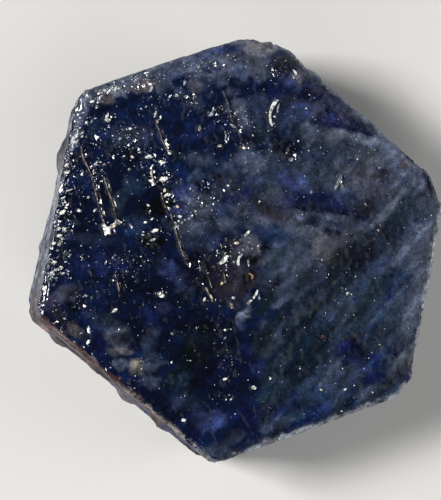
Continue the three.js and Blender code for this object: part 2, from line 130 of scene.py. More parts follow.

# Clouds and colour zones of the front face: place, half-length, half-width, turn, colour, strength.
# They lie on navy blue, each over those before it.
# The pale zones over the east half are partly a painted sheen of reflected sky.
ZONES = (
    # broad fields, west to east
    (-6.5, 6.6, 3.1, 5.5, 56, "ink", 0.6),
    (10.1, 3.8, 7.3, 5.5, -50, "steel", 0.8),
    (12.8, -3.9, 4.1, 5.5, 30, "slate", 0.65),
    (5.2, -10.0, 8.6, 7.7, 26, "dusk", 0.95),
    (13.6, -1.8, 4.5, 4.0, 20, "slate", 0.6),
    (11.7, -11.3, 3.6, 2.4, 50, "slate", 0.5),
    (3.4, 3.7, 5.0, 3.8, -20, "steel", 0.7),
    (-1.6, 2.5, 3.8, 2.2, 0, "slate", 0.5),
    (4.7, 16.3, 5.5, 2.0, -4, "steel", 0.8),
    (4.7, -3.1, 5.5, 2.7, 0, "slate", 0.6),
    (-5.3, -10.6, 5.5, 2.0, -104, "navy", 0.9),
    (-7.9, -14.0, 6.4, 2.7, -10, "navy", 0.6),
    (-8.5, -3.3, 4.2, 4.2, 0, "ink", 0.7),
    (-4.9, -6.9, 2.7, 5.5, 60, "ink", 0.6),
    (-9.3, -6.8, 5.5, 3.6, -50, "ink", 0.35),
    (-11.8, 2.5, 4.5, 2.0, -20, "ink", 0.5),
    # top edge and corner
    (-2.8, 16.9, 5.3, 0.7, -2, "haze", 0.9),
    (-0.6, 17.3, 4.5, 0.7, -2, "mist", 0.7),
    (2.2, 16.4, 3.3, 1.1, -6, "haze", 0.6),
    (-6.5, 12.4, 1.8, 1.1, -10, "haze", 0.2),
    (-5.7, 17.1, 2.7, 0.6, 2, "mist", 0.5),
    (2.1, 17.6, 1.5, 0.4, -2, "haze", 0.5),
    (5.6, 15.8, 3.1, 1.8, -20, "grey", 0.45),
    (8.1, 16.8, 2.4, 0.5, -28, "stone", 0.9),
    (7.2, 16.4, 0.9, 0.5, -20, "stone", 0.95),
    (7.0, 15.5, 0.9, 0.8, -20, "stone", 0.6),
    (4.7, 16.7, 0.9, 0.5, -20, "grey", 0.5),
    (2.9, 15.7, 0.8, 0.7, -20, "grey", 0.5),
    (9.0, 14.6, 1.1, 0.7, -50, "umber", 0.85),
    (8.1, 14.0, 0.5, 0.5, -20, "umber", 0.6),
    (-0.7, 16.6, 1.1, 0.5, -4, "blue", 0.5),
    (5.3, 17.3, 0.8, 0.5, -20, "deep", 0.7),
    (-2.0, 16.4, 1.1, 0.5, -4, "haze", 0.5),
    (4.5, 14.2, 2.7, 0.5, -32, "ink", 0.6),
    (5.1, 15.1, 0.9, 0.5, -20, "deep", 0.6),
    (2.8, 16.8, 0.8, 0.6, -20, "deep", 0.5),
    (6.6, 12.7, 2.7, 0.5, -32, "inkblue", 0.9),
    (9.6, 12.7, 1.5, 0.8, -40, "blue", 0.55),
    (10.5, 11.2, 0.8, 0.7, -20, "ink", 0.75),
    (12.0, 11.2, 1.1, 0.6, -40, "steel", 0.6),
    (10.7, 13.7, 1.6, 0.5, -64, "grey", 0.7),
    (10.1, 12.9, 0.7, 0.5, -60, "taupe", 0.6),
    (12.7, 10.9, 1.8, 0.4, -64, "haze", 0.5),
    (13.9, 8.3, 2.2, 0.5, -64, "haze", 0.6),
    (9.6, 10.2, 2.4, 1.1, -40, "haze", 0.35),
    # wedge right of the long fissure
    (4.5, 12.1, 0.7, 1.6, -88, "grey", 0.9),
    (4.6, 10.9, 0.7, 0.8, -20, "haze", 0.85),
    (4.0, 10.8, 0.5, 0.5, -20, "mist", 0.7),
    (2.8, 12.1, 0.6, 0.8, -20, "ink", 0.8),
    (3.5, 10.1, 0.6, 0.5, -20, "haze", 0.6),
    (3.9, 13.5, 0.8, 0.5, -20, "haze", 0.5),
    (5.3, 12.4, 0.8, 0.5, -20, "deep", 0.6),
    (5.9, 10.8, 0.8, 1.8, -100, "ink", 0.9),
    (4.6, 9.6, 1.1, 0.9, -20, "darkteal", 0.8),
    (7.9, 10.2, 0.8, 1.3, 60, "bluegreen", 0.7),
    (9.4, 10.1, 1.3, 0.9, -30, "blue", 0.7),
    (12.5, 9.1, 1.5, 0.6, -34, "bluegreen", 0.6),
    (13.9, 8.2, 1.1, 0.6, -54, "haze", 0.5),
    (13.5, 7.0, 2.9, 0.5, -28, "inkblue", 0.7),
    (12.6, 5.1, 4.7, 1.5, -64, "violet", 0.35),
    (12.2, 9.5, 3.1, 0.6, -62, "violet", 0.5),
    (12.5, 4.2, 3.6, 1.3, -60, "umber", 0.25),
    (11.0, 14.4, 2.0, 1.1, -60, "umber", 0.4),
    (8.3, 16.9, 1.8, 0.5, -12, "taupe", 0.45),
    (5.6, 15.8, 2.4, 0.7, -10, "violet", 0.3),
    (14.9, 2.0, 2.4, 0.9, -64, "violet", 0.35),
    (12.9, 1.7, 3.3, 1.6, -50, "taupe", 0.3),
    (1.0, 17.4, 3.8, 0.5, -2, "deep", 0.6),
    (2.1, 14.9, 1.3, 0.9, -20, "navy", 0.4),
    (5.6, 13.3, 2.2, 0.5, -32, "navy", 0.4),
    (0.9, -1.0, 0.8, 1.0, 60, "umber", 0.85),
    (2.5, -1.0, 0.5, 0.7, 50, "pine", 0.6),
    (12.0, -0.9, 2.0, 0.8, -28, "umber", 0.5),
    (-7.8, -14.1, 1.4, 0.9, -20, "deep", 0.6),
    (-7.9, -8.9, 3.1, 1.2, 42, "darkteal", 0.5),
    (-3.6, -15.4, 1.6, 0.9, 0, "steel", 0.4),
    (9.4, 3.9, 1.8, 1.3, -20, "umber", 0.35),
    (3.1, 2.8, 2.7, 1.5, -20, "violet", 0.3),
    (3.5, 10.1, 1.5, 1.1, -20, "violet", 0.35),
    (5.4, 0.0, 2.4, 1.1, -20, "olive", 0.2),
    (9.1, 9.2, 1.8, 1.3, -20, "bluegreen", 0.35),
    (6.1, 11.2, 1.5, 1.8, -20, "slate", 0.35),
    (11.8, 7.4, 1.1, 0.5, -20, "umber", 0.6),
    (11.7, 8.1, 1.1, 0.5, -40, "deep", 0.7),
    (13.1, 6.0, 1.8, 0.5, -32, "mist", 0.8),
    (9.2, 7.7, 0.9, 1.1, 50, "haze", 0.75),
    (11.1, 6.4, 1.3, 0.7, -10, "grey", 0.6),
    (16.2, 2.9, 2.4, 1.1, -62, "haze", 0.95),
    (16.8, 2.5, 1.3, 0.7, -56, "mist", 0.7),
    (17.8, 0.2, 1.3, 0.7, -66, "haze", 0.7),
    (15.4, 5.7, 2.7, 0.5, -64, "haze", 0.5),
    (16.9, 1.9, 0.5, 0.4, -20, "darkbrown", 0.6),
    (11.9, 4.6, 2.5, 1.2, -34, "slate", 0.6),
    (14.2, 3.4, 1.6, 0.9, -40, "grey", 0.55),
    (11.5, 2.3, 1.2, 1.0, -20, "grey", 0.7),
    (10.9, 2.7, 0.5, 1.3, 60, "steel", 0.7),
    (13.5, 1.7, 1.3, 0.7, -10, "grey", 0.7),
    (14.9, 1.8, 0.7, 0.4, 10, "umber", 0.7),
    (12.3, 1.1, 1.1, 0.5, 0, "haze", 0.6),
    (15.6, 1.0, 2.2, 0.5, 26, "haze", 0.6),
    # middle east
    (3.4, 8.8, 1.4, 0.9, -20, "ink", 0.7),
    (7.0, 7.2, 0.7, 1.5, 60, "ink", 0.9),
    (6.3, 8.5, 0.5, 0.7, -20, "ink", 0.6),
    (6.8, 4.3, 1.1, 1.0, -50, "blue", 0.85),
    (6.2, 5.6, 0.9, 0.8, -20, "steel", 0.5),
    (5.0, 6.5, 0.9, 1.3, 60, "slate", 0.5),
    (7.6, 5.1, 0.8, 1.1, -60, "slate", 0.6),
    (9.2, 3.9, 1.3, 1.1, -20, "teal", 0.7),
    (8.0, 1.6, 2.9, 0.8, -28, "inkblue", 0.95),
    (9.8, -0.4, 2.7, 0.5, -32, "inkblue", 0.9),
    (9.3, -1.4, 2.4, 0.5, -30, "haze", 0.8),
    (12.1, -0.6, 1.3, 0.8, -30, "umber", 0.8),
    (12.5, -2.1, 0.9, 0.4, -40, "ink", 0.6),
    (6.1, 0.9, 1.6, 0.5, -26, "haze", 0.7),
    (9.0, -0.9, 2.4, 0.5, -32, "steel", 0.8),
    (3.2, 3.2, 1.8, 0.5, -36, "umber", 0.6),
    (3.9, 2.1, 1.8, 0.5, -34, "umber", 0.75),
    (4.3, 3.5, 1.1, 0.7, -20, "grey", 0.4),
    (2.3, 4.4, 0.8, 0.5, 0, "deep", 0.8),
    # the light ridge and the dark land beyond it
    (16.7, 0.0, 2.2, 0.4, 28, "mist", 0.5),
    (15.2, -0.9, 0.7, 0.5, 28, "steel", 0.6),
    (13.6, -2.0, 1.8, 0.4, 32, "mist", 0.7),
    (17.2, -2.7, 1.8, 2.0, 50, "slate", 0.9),
    (17.5, -1.7, 1.1, 1.5, 50, "haze", 0.5),
    (15.3, -1.9, 2.0, 0.6, 28, "dusk", 0.85),
    (16.5, -4.5, 1.6, 1.1, 56, "haze", 0.9),
    (14.2, -3.7, 1.5, 0.5, -22, "deep", 0.85),
    (15.0, -5.5, 2.4, 1.1, 46, "haze", 0.75),
    (15.6, -7.1, 0.9, 1.6, -20, "haze", 0.5),
    # middle
    (3.1, 8.9, 1.3, 0.9, -20, "ink", 0.6),
    (1.2, 11.9, 1.1, 1.0, -20, "ink", 0.8),
    (1.3, 8.7, 1.1, 0.7, -20, "ink", 0.6),
    (-0.2, 11.2, 1.5, 0.9, -14, "deep", 0.55),
    (0.5, 13.6, 1.2, 0.8, -20, "slate", 0.6),
    (-1.6, 16.1, 0.8, 0.7, -20, "slate", 0.6),
    (1.0, 15.0, 0.8, 0.7, -20, "grey", 0.8),
    (-0.6, 15.0, 0.7, 0.7, -20, "steel", 0.6),
    (3.4, 14.7, 0.8, 0.5, -20, "slate", 0.75),
    (2.9, 16.0, 0.7, 0.5, -20, "deep", 0.6),
    (-4.0, 16.8, 1.2, 0.7, -10, "taupe", 0.95),
    (-5.5, 17.4, 1.1, 0.5, 0, "haze", 0.6),
    (-7.8, 17.0, 1.8, 0.7, 6, "mist", 0.6),
    (-7.1, 16.6, 0.7, 0.6, -20, "taupe", 0.7),
    (-9.6, 16.3, 1.8, 0.5, 50, "haze", 0.75),
    (-10.9, 14.3, 1.3, 0.5, 58, "haze", 0.6),
    (-8.2, 15.8, 0.8, 0.7, -20, "inkblue", 0.7),
    (-9.5, 14.3, 1.5, 0.7, 40, "bluegreen", 0.4),
    (-6.9, 13.0, 1.8, 0.7, -10, "slate", 0.35),
    (-2.6, 9.9, 0.8, 0.8, -20, "ink", 0.8),
    (-0.9, 8.7, 2.2, 0.7, -24, "slate", 0.55),
    (-6.8, 11.0, 2.7, 0.9, -10, "ink", 0.6),
    (-4.5, 10.7, 0.7, 1.1, -20, "ink", 0.6),
    (-7.1, 8.3, 0.9, 0.9, -20, "bluegreen", 0.9),
    (-9.4, 7.1, 2.0, 0.7, 40, "teal", 0.45),
    (-6.0, 5.7, 0.9, 1.8, -94, "black", 0.95),
    (-7.6, 2.8, 1.1, 0.8, -20, "black", 1.0),
    (-11.8, 8.4, 1.3, 2.0, 56, "ink", 0.8),
    (-12.9, 7.0, 2.2, 0.6, -26, "ink", 0.9),
    (-12.6, 5.0, 2.4, 0.5, -24, "steel", 0.6),
    (-8.5, 4.9, 1.3, 1.1, -20, "bluegreen", 0.4),
    (3.1, 7.2, 1.6, 1.3, -20, "haze", 0.6),
    (3.8, 4.8, 1.1, 0.7, -20, "slate", 0.5),
    (0.5, 5.9, 0.8, 0.9, -20, "umber", 0.7),
    (-0.3, 6.6, 0.7, 0.6, -20, "black", 0.7),
    (-1.4, 7.2, 1.1, 0.7, -20, "slate", 0.5),
    (-3.2, 6.2, 1.3, 0.7, -10, "blue", 0.5),
    (-3.7, 7.2, 0.7, 0.5, 20, "steel", 0.4),
    (-1.9, 4.6, 1.5, 1.3, -20, "haze", 0.6),
    (-0.1, 4.8, 0.6, 0.8, -20, "umber", 0.6),
    (-3.6, 3.1, 1.4, 0.8, -6, "haze", 0.85),
    (-2.8, 1.5, 1.2, 0.6, -10, "blue", 0.45),
    (-4.2, 4.7, 0.7, 1.1, -90, "blue", 0.55),
    (-0.5, 3.3, 1.1, 0.8, -20, "blue", 0.5),
    (1.0, 2.9, 1.1, 0.8, -20, "grey", 0.55),
    (0.6, 4.1, 1.1, 0.5, 0, "deep", 0.6),
    (2.2, 1.5, 1.1, 0.5, 0, "haze", 0.5),
    (3.7, 0.0, 1.3, 0.9, -20, "bluegreen", 0.45),
    (5.8, -0.8, 1.5, 0.8, -20, "haze", 0.5),
    (4.5, -1.6, 0.9, 0.9, -20, "blue", 0.4),
    (7.6, -2.8, 2.0, 1.2, -14, "stone", 0.62),
    (8.4, -4.0, 1.3, 0.8, -20, "taupe", 0.7),
    (9.6, -2.8, 2.7, 1.0, 0, "grey", 0.75),
    (0.7, -0.5, 1.3, 0.9, -20, "umber", 0.85),
    (1.0, 0.2, 0.7, 0.5, -20, "grey", 0.85),
    (1.4, -2.1, 1.1, 0.5, 10, "grey", 0.7),
    (2.6, -1.4, 1.1, 0.5, 24, "slate", 0.8),
    (-0.7, 2.3, 0.9, 0.7, -20, "haze", 0.8),
    (-2.1, 2.6, 0.8, 0.5, -20, "slate", 0.6),
    (-2.2, 0.7, 0.7, 0.5, -20, "blue", 0.6),
    (0.6, -1.4, 0.9, 0.5, -20, "black", 0.7),
    (2.2, -0.8, 0.4, 0.5, -20, "black", 0.7),
    (-1.3, -1.2, 0.7, 0.8, -20, "black", 0.5),
    (-0.5, -3.0, 0.5, 0.5, -20, "black", 0.9),
    (3.4, -2.2, 2.2, 0.8, 24, "teal", 0.8),
    (3.2, -4.1, 2.4, 0.7, 18, "haze", 0.65),
    (2.1, -6.0, 1.5, 0.5, 22, "haze", 0.4),
    (0.3, -8.9, 1.3, 0.7, 28, "haze", 0.45),
    (5.8, -3.6, 1.1, 0.6, -40, "haze", 0.7),
    (5.9, -5.4, 1.3, 0.5, -50, "blue", 0.6),
    (1.5, -4.3, 1.3, 0.5, 0, "ink", 0.7),
    (-2.1, -0.9, 0.9, 0.7, -20, "umber", 0.5),
    (-3.3, 0.2, 1.3, 0.7, -70, "umber", 0.45),
    # lower left
    (-16.6, 1.1, 1.4, 1.0, 0, "grey", 0.45),
    (-15.5, 1.1, 0.7, 0.5, -20, "umber", 0.5),
    (-18.0, 0.9, 0.8, 1.0, -40, "violet", 0.9),
    (-15.9, 0.0, 0.8, 1.0, -10, "black", 0.8),
    (-17.5, -0.9, 1.3, 0.5, -60, "umber", 0.8),
    (-16.8, -2.4, 0.7, 0.9, 40, "taupe", 0.75),
    (-15.9, -3.3, 0.7, 0.5, 0, "umber", 0.6),
    (-15.5, -4.2, 1.2, 0.8, -60, "inkblue", 0.8),
    (-14.1, -2.5, 1.5, 0.8, -50, "slate", 0.35),
    (-12.6, 2.8, 2.5, 1.1, -20, "deep", 0.5),
    (-15.2, 3.7, 1.5, 0.7, 26, "deep", 0.6),
    (-7.1, -0.1, 1.3, 0.8, -40, "blue", 0.5),
    (-7.5, 1.0, 0.7, 0.5, 20, "steel", 0.4),
    (-6.0, -2.0, 0.8, 1.0, -20, "steel", 0.9),
    (-9.3, -1.1, 1.3, 0.8, -20, "ink", 0.75),
    (-6.8, -2.7, 0.8, 0.6, -20, "black", 0.9),
    (-4.2, -1.5, 0.6, 2.0, -80, "ink", 0.95),
    (-4.7, 0.0, 0.7, 1.3, -80, "ink", 0.8),
    (-2.7, -3.0, 0.9, 0.9, -20, "umber", 0.6),
    (-1.5, -3.4, 1.1, 0.8, -60, "umber", 0.85),
    (-0.2, -2.3, 0.8, 0.5, -20, "umber", 0.7),
    (-8.3, -3.1, 1.3, 0.8, 0, "navy", 0.7),
    (-8.5, -2.9, 0.7, 0.5, 0, "violet", 0.25),
    (-7.6, -4.7, 1.3, 1.3, -20, "ink", 0.85),
    (-10.0, -3.5, 0.8, 1.3, 40, "deep", 0.45),
    (-6.2, -7.5, 1.3, 2.7, 52, "darkteal", 0.95),
    (-7.4, -8.6, 1.5, 1.6, 40, "pine", 0.9),
    (-7.6, -10.3, 1.1, 0.6, -20, "black", 0.7),
    (-10.7, -5.4, 0.7, 1.8, -50, "slate", 0.5),
    (-10.3, -6.1, 1.5, 0.6, 32, "ink", 0.5),
    (-13.3, -4.2, 1.1, 0.9, -40, "grey", 0.55),
    (-12.8, -4.4, 0.5, 0.5, -20, "black", 0.8),
    (-13.5, -5.3, 1.1, 0.5, -20, "stone", 0.5),
    (-12.8, -7.3, 0.8, 0.8, 0, "olive", 0.65),
    (-13.9, -6.5, 0.7, 0.5, -20, "mist", 0.5),
    (-11.3, -7.2, 1.1, 0.8, 30, "slate", 0.7),
    (-10.1, -9.2, 1.1, 0.7, 32, "pine", 0.5),
    (-12.2, -9.0, 0.9, 0.7, -20, "haze", 0.7),
    (-12.9, -8.9, 1.3, 0.5, -60, "inkblue", 0.8),
    (-9.5, -11.7, 1.6, 0.9, -20, "steel", 0.55),
    (-7.8, -14.1, 1.8, 1.0, -10, "blue", 0.6),
    (-9.6, -14.9, 1.1, 0.8, -20, "inkblue", 0.6),
    (-6.6, -16.2, 1.1, 0.8, -20, "haze", 0.3),
    (-8.2, -16.8, 1.3, 0.8, -10, "slate", 0.7),
    # bottom centre
    (-3.7, -6.4, 0.8, 2.4, -100, "black", 0.6),
    (-4.9, -10.5, 1.3, 3.1, -104, "inkblue", 0.95),
    (-4.6, -8.0, 0.5, 2.4, -100, "ink", 0.8),
    (-2.4, -9.4, 0.8, 1.0, -80, "deep", 0.8),
    (-2.3, -11.2, 0.9, 0.9, -70, "deep", 0.9),
    (-3.8, -12.1, 0.7, 1.3, -100, "ink", 0.7),
    (-4.8, -15.1, 1.2, 1.0, -20, "inkblue", 0.95),
    (-1.7, -6.0, 0.9, 0.4, 34, "mist", 0.9),
    (-2.5, -6.5, 0.4, 0.3, 30, "mist", 0.6),
    (-0.1, -6.3, 0.9, 0.5, 22, "darkteal", 0.6),
    (-2.3, -7.0, 0.5, 0.7, -20, "blue", 0.5),
    # streaks of the lower right
    (-0.2, -8.1, 1.1, 1.3, 26, "slate", 0.6),
    (-1.2, -9.3, 1.1, 0.9, 26, "teal", 0.7),
    (0.7, -7.5, 3.1, 0.4, 28, "darkteal", 0.6),
    (0.0, -5.8, 2.0, 0.5, 28, "darkteal", 0.7),
    (1.3, -10.1, 3.6, 0.3, 30, "haze", 0.35),
    (-0.4, -11.5, 2.4, 0.3, 30, "haze", 0.35),
    (-2.0, -13.1, 1.6, 0.9, 30, "darkteal", 0.75),
    (-2.8, -14.4, 0.9, 0.5, 20, "umber", 0.5),
    (6.0, -6.4, 4.0, 0.4, 30, "mist", 0.35),
    (4.4, -7.4, 2.4, 1.0, 26, "darkteal", 1.0),
    (7.3, -6.3, 2.7, 1.2, 26, "darkteal", 0.95),
    (10.2, -4.8, 3.3, 1.3, 28, "dusk", 0.95),
    (12.9, -3.6, 2.4, 1.1, 30, "dusk", 0.95),
    (6.8, -4.6, 4.2, 0.3, 26, "haze", 0.5),
    (5.9, -8.0, 1.5, 0.5, -10, "umber", 0.7),
    (7.8, -7.2, 1.1, 0.7, 20, "slate", 0.35),
    (10.1, -7.5, 3.3, 0.4, 28, "haze", 0.3),
    (7.6, -9.5, 2.7, 0.8, 26, "darkteal", 0.8),
    (9.4, -8.2, 2.0, 0.8, 28, "darkteal", 0.85),
    (11.1, -7.3, 1.5, 0.6, 26, "darkteal", 0.7),
    (12.0, -8.3, 0.8, 0.8, -20, "ink", 0.4),
    (13.1, -7.4, 1.5, 0.8, 40, "bluegreen", 0.45),
    (6.0, -9.9, 2.2, 0.3, 30, "haze", 0.5),
    (11.8, -10.0, 1.6, 0.9, 40, "slate", 0.7),
    (10.1, -10.6, 1.5, 0.6, 20, "bluegreen", 0.5),
    (9.9, -12.9, 1.3, 0.8, 30, "steel", 0.6),
    (8.6, -12.8, 0.9, 0.7, -20, "dusk", 0.5),
    (13.8, -9.3, 2.4, 0.5, 58, "haze", 0.8),
    (13.2, -8.8, 1.3, 0.5, 58, "steel", 0.5),
    (16.1, -7.4, 3.1, 0.5, 58, "mist", 0.85),
    (17.3, -4.7, 1.1, 0.5, 60, "mist", 0.7),
    (13.0, -11.6, 2.0, 0.8, 56, "haze", 0.95),
    (15.8, -7.1, 2.2, 0.6, 60, "haze", 0.9),
    (6.3, -12.4, 1.0, 1.5, 62, "ink", 0.9),
    (5.8, -11.8, 0.8, 0.7, -20, "ink", 0.6),
    (6.9, -11.2, 0.9, 0.8, -20, "black", 0.9),
    (5.9, -13.6, 0.5, 0.8, -20, "black", 0.6),
    (7.4, -13.7, 0.4, 1.8, -94, "inkblue", 0.9),
    (7.4, -15.5, 0.5, 0.9, -90, "inkblue", 0.8),
    (4.1, -13.7, 2.2, 0.4, 28, "haze", 0.4),
    (3.3, -12.6, 0.9, 0.8, -20, "umber", 0.5),
    (5.1, -14.6, 1.6, 0.7, 28, "slate", 0.3),
    (6.8, -16.6, 1.8, 0.5, 2, "haze", 0.25),
    (10.5, -15.0, 2.4, 0.5, 30, "mist", 0.8),
    (10.1, -16.1, 2.0, 0.5, 32, "steel", 0.8),
    (8.1, -17.3, 1.5, 0.4, 16, "bluegreen", 0.6),
    (3.9, -16.4, 1.8, 0.6, 4, "steel", 0.5),
    (2.1, -15.3, 1.1, 0.9, -20, "bluegreen", 0.6),
    (0.0, -16.3, 1.6, 0.7, 0, "bluegreen", 0.6),
    (1.6, -16.7, 1.3, 0.5, 0, "deep", 0.5),
    (-2.0, -16.5, 1.8, 0.6, 0, "haze", 0.25),
    # last, over all of these: painted shade along the scarps and in the hollows, dark lands, and painted
    # highlights on the light ledges
    (12.8, 7.0, 2.7, 0.3, -32, "inkblue", 0.9),
    (14.0, 5.7, 2.5, 0.3, -32, "mist", 0.7),
    (8.1, 0.4, 3.1, 0.3, -28, "ink", 0.8),
    (9.3, -0.7, 2.5, 0.3, -28, "haze", 0.8),
    (9.8, 11.3, 3.1, 0.4, -28, "inkblue", 0.7),
    (-1.5, -2.4, 2.4, 2.0, -20, "bark", 0.55),
    (-3.0, -3.5, 1.5, 1.1, -20, "bark", 0.45),
    (3.4, 1.9, 2.2, 0.5, -32, "bark", 0.6),
    (1.0, -0.5, 0.9, 0.8, -20, "grey", 0.7),
    (1.9, -0.9, 0.4, 0.5, -20, "black", 0.8),
    (0.4, -1.7, 0.8, 0.4, -20, "black", 0.7),
    (3.1, 17.6, 3.1, 0.7, -6, "blue", 0.5),
    (11.0, -5.0, 7.1, 1.0, 30, "dusk", 0.7),
    (10.1, -5.1, 3.1, 0.7, 30, "umber", 0.5),
    (13.8, -1.6, 2.4, 0.3, 30, "mist", 0.75),
    (13.0, -5.9, 1.6, 0.3, 30, "haze", 0.3),
    (2.4, -11.2, 4.5, 2.4, 26, "dusk", 0.6),
    (9.8, -4.4, 2.7, 1.3, 30, "umber", 0.35),
    (6.1, -12.5, 1.2, 0.7, -74, "inkblue", 0.7),
    (7.0, -14.5, 1.1, 0.5, -70, "deep", 0.6),
    (-6.4, -8.4, 2.4, 1.1, 40, "ink", 0.5),
    (-12.6, -10.4, 2.0, 1.1, -54, "ink", 0.4),
    (-2.4, 17.7, 3.6, 0.8, -2, "haze", 0.3),
    (2.6, 17.2, 2.7, 0.7, -6, "mist", 0.35),
    (-2.3, -17.8, 4.0, 0.2, 0, "chalk", 0.5),
    (-0.8, 0.2, 1.6, 1.1, 30, "umber", 0.5),
    (5.1, -14.6, 2.7, 0.6, 20, "steel", 0.4),
    (6.5, 15.1, 2.7, 1.1, -10, "slate", 0.5),
    (-11.2, 17.8, 0.9, 1.1, 40, "bruise", 0.4),
    (8.2, -5.0, 3.1, 0.5, 30, "slate", 0.6),
    (4.0, -7.3, 2.0, 0.5, 26, "haze", 0.5),
    (8.2, -11.7, 2.4, 0.5, 28, "ink", 0.5),
    (12.8, -9.4, 1.8, 0.7, 40, "slate", 0.6),
    (-0.5, -3.0, 0.4, 0.4, -20, "black", 0.9),
    (1.9, -11.0, 2.9, 1.8, 28, "darkteal", 0.75),
    (4.8, -6.8, 2.4, 1.3, 26, "ink", 0.3),
    (9.8, -4.4, 2.9, 1.5, 28, "ink", 0.65),
    (9.4, -4.5, 3.1, 1.6, 28, "pine", 0.3),
    (2.3, -11.1, 3.1, 2.0, 28, "ink", 0.65),
    (2.3, -11.1, 3.1, 2.0, 28, "pine", 0.35),
    (4.8, -2.7, 1.6, 1.1, 0, "haze", 0.3),
    (-12.2, -10.2, 2.0, 0.7, -60, "ink", 0.5),
    (6.3, 11.3, 2.4, 1.3, -30, "blue", 0.3),
    (-6.5, -7.8, 2.2, 2.4, 50, "black", 0.6),
)

# Where the front glitters, with painted glint specks: place, half-length, half-width, turn, share of the
# spots that have one.
GLITTER = (
    (-7.8, 17.0, 2.4, 1.1, 6, 0.75),
    (-3.6, 17.0, 3.6, 1.0, -2, 0.8),
    (2.4, 16.5, 3.1, 1.1, -6, 0.42),
    (-2.5, 4.7, 2.2, 1.5, -30, 0.34),
    (1.6, 3.3, 2.5, 1.5, -20, 0.2),
    (-10.0, 15.6, 2.4, 0.8, 52, 0.9),
    (-12.4, 12.0, 2.2, 0.7, 56, 0.8),
    (-14.1, 8.7, 1.8, 0.7, 60, 0.9),
    (-14.8, 6.4, 1.6, 0.9, 40, 0.85),
    (-16.3, 3.8, 1.6, 1.0, 30, 0.9),
    (-17.2, 2.7, 0.9, 0.5, 60, 0.4),
    (-10.2, 11.7, 3.6, 1.8, 56, 0.45),
    (-6.5, 11.9, 3.6, 2.7, -50, 0.38),
    (-1.3, 14.4, 3.6, 2.0, -10, 0.34),
    (-5.3, 8.6, 1.8, 1.6, 60, 0.45),
    (-7.4, 4.0, 2.0, 2.2, 60, 0.34),
    (-4.0, 6.7, 1.3, 1.8, -20, 0.2),
    (-3.9, 4.3, 1.6, 3.1, -84, 0.28),
    (-2.7, -0.5, 2.2, 2.4, -80, 0.2),
    (-0.4, -0.3, 2.2, 1.5, -20, 0.3),
    (-1.5, 9.7, 2.7, 1.8, -20, 0.15),
    (2.9, 11.1, 2.4, 1.8, -20, 0.26),
    (7.7, 14.8, 3.3, 1.3, -20, 0.22),
    (4.6, 7.6, 3.6, 2.2, -20, 0.18),
    (-0.5, 5.5, 2.7, 1.5, -20, 0.22),
    (-12.0, 1.8, 4.5, 2.4, -20, 0.2),
    (-16.6, -0.4, 2.0, 1.8, -20, 0.28),
    (-10.9, -3.4, 3.6, 2.7, -20, 0.1),
    (-4.4, -8.1, 3.6, 1.1, -104, 0.3),
    (-8.5, -12.9, 3.6, 2.2, -20, 0.12),
    (10.2, 9.6, 2.4, 1.8, -20, 0.14),
)

# Where a frosted lace of painted glints lies: place, half-length, half-width, turn, strength.
FROST_GLINTS = (
    (-7.7, 16.9, 2.5, 1.1, 6, 0.75),
    (-4.5, 17.1, 2.2, 0.6, 0, 0.4),
    (-1.8, 17.1, 2.0, 0.6, -2, 0.72),
    (1.6, 16.9, 1.8, 0.5, -2, 0.5),
    (-9.6, 15.6, 2.4, 1.0, 50, 0.9),
    (-11.1, 13.7, 1.8, 0.7, 56, 0.7),
    (-12.6, 11.3, 2.0, 0.6, 56, 0.65),
    (-14.3, 8.3, 1.5, 0.5, 60, 0.6),
    (-15.1, 6.5, 1.3, 0.5, 40, 0.6),
    (-16.1, 4.0, 1.5, 0.7, 30, 0.7),
    (-17.0, 3.0, 1.1, 0.5, 40, 0.6),
    (-3.1, 16.2, 1.6, 0.7, 60, 0.45),
    (0.5, 15.4, 1.3, 0.9, 60, 0.35),
    (-7.3, 15.0, 0.8, 0.8, -20, 0.5),
    (-17.2, 2.3, 0.9, 0.5, 60, 0.25),
    (4.7, 16.1, 2.2, 1.1, -20, 0.2),
    (-1.4, -1.0, 2.2, 1.5, -20, 0.2),
    (-4.7, 8.9, 1.8, 1.1, 60, 0.3),
)
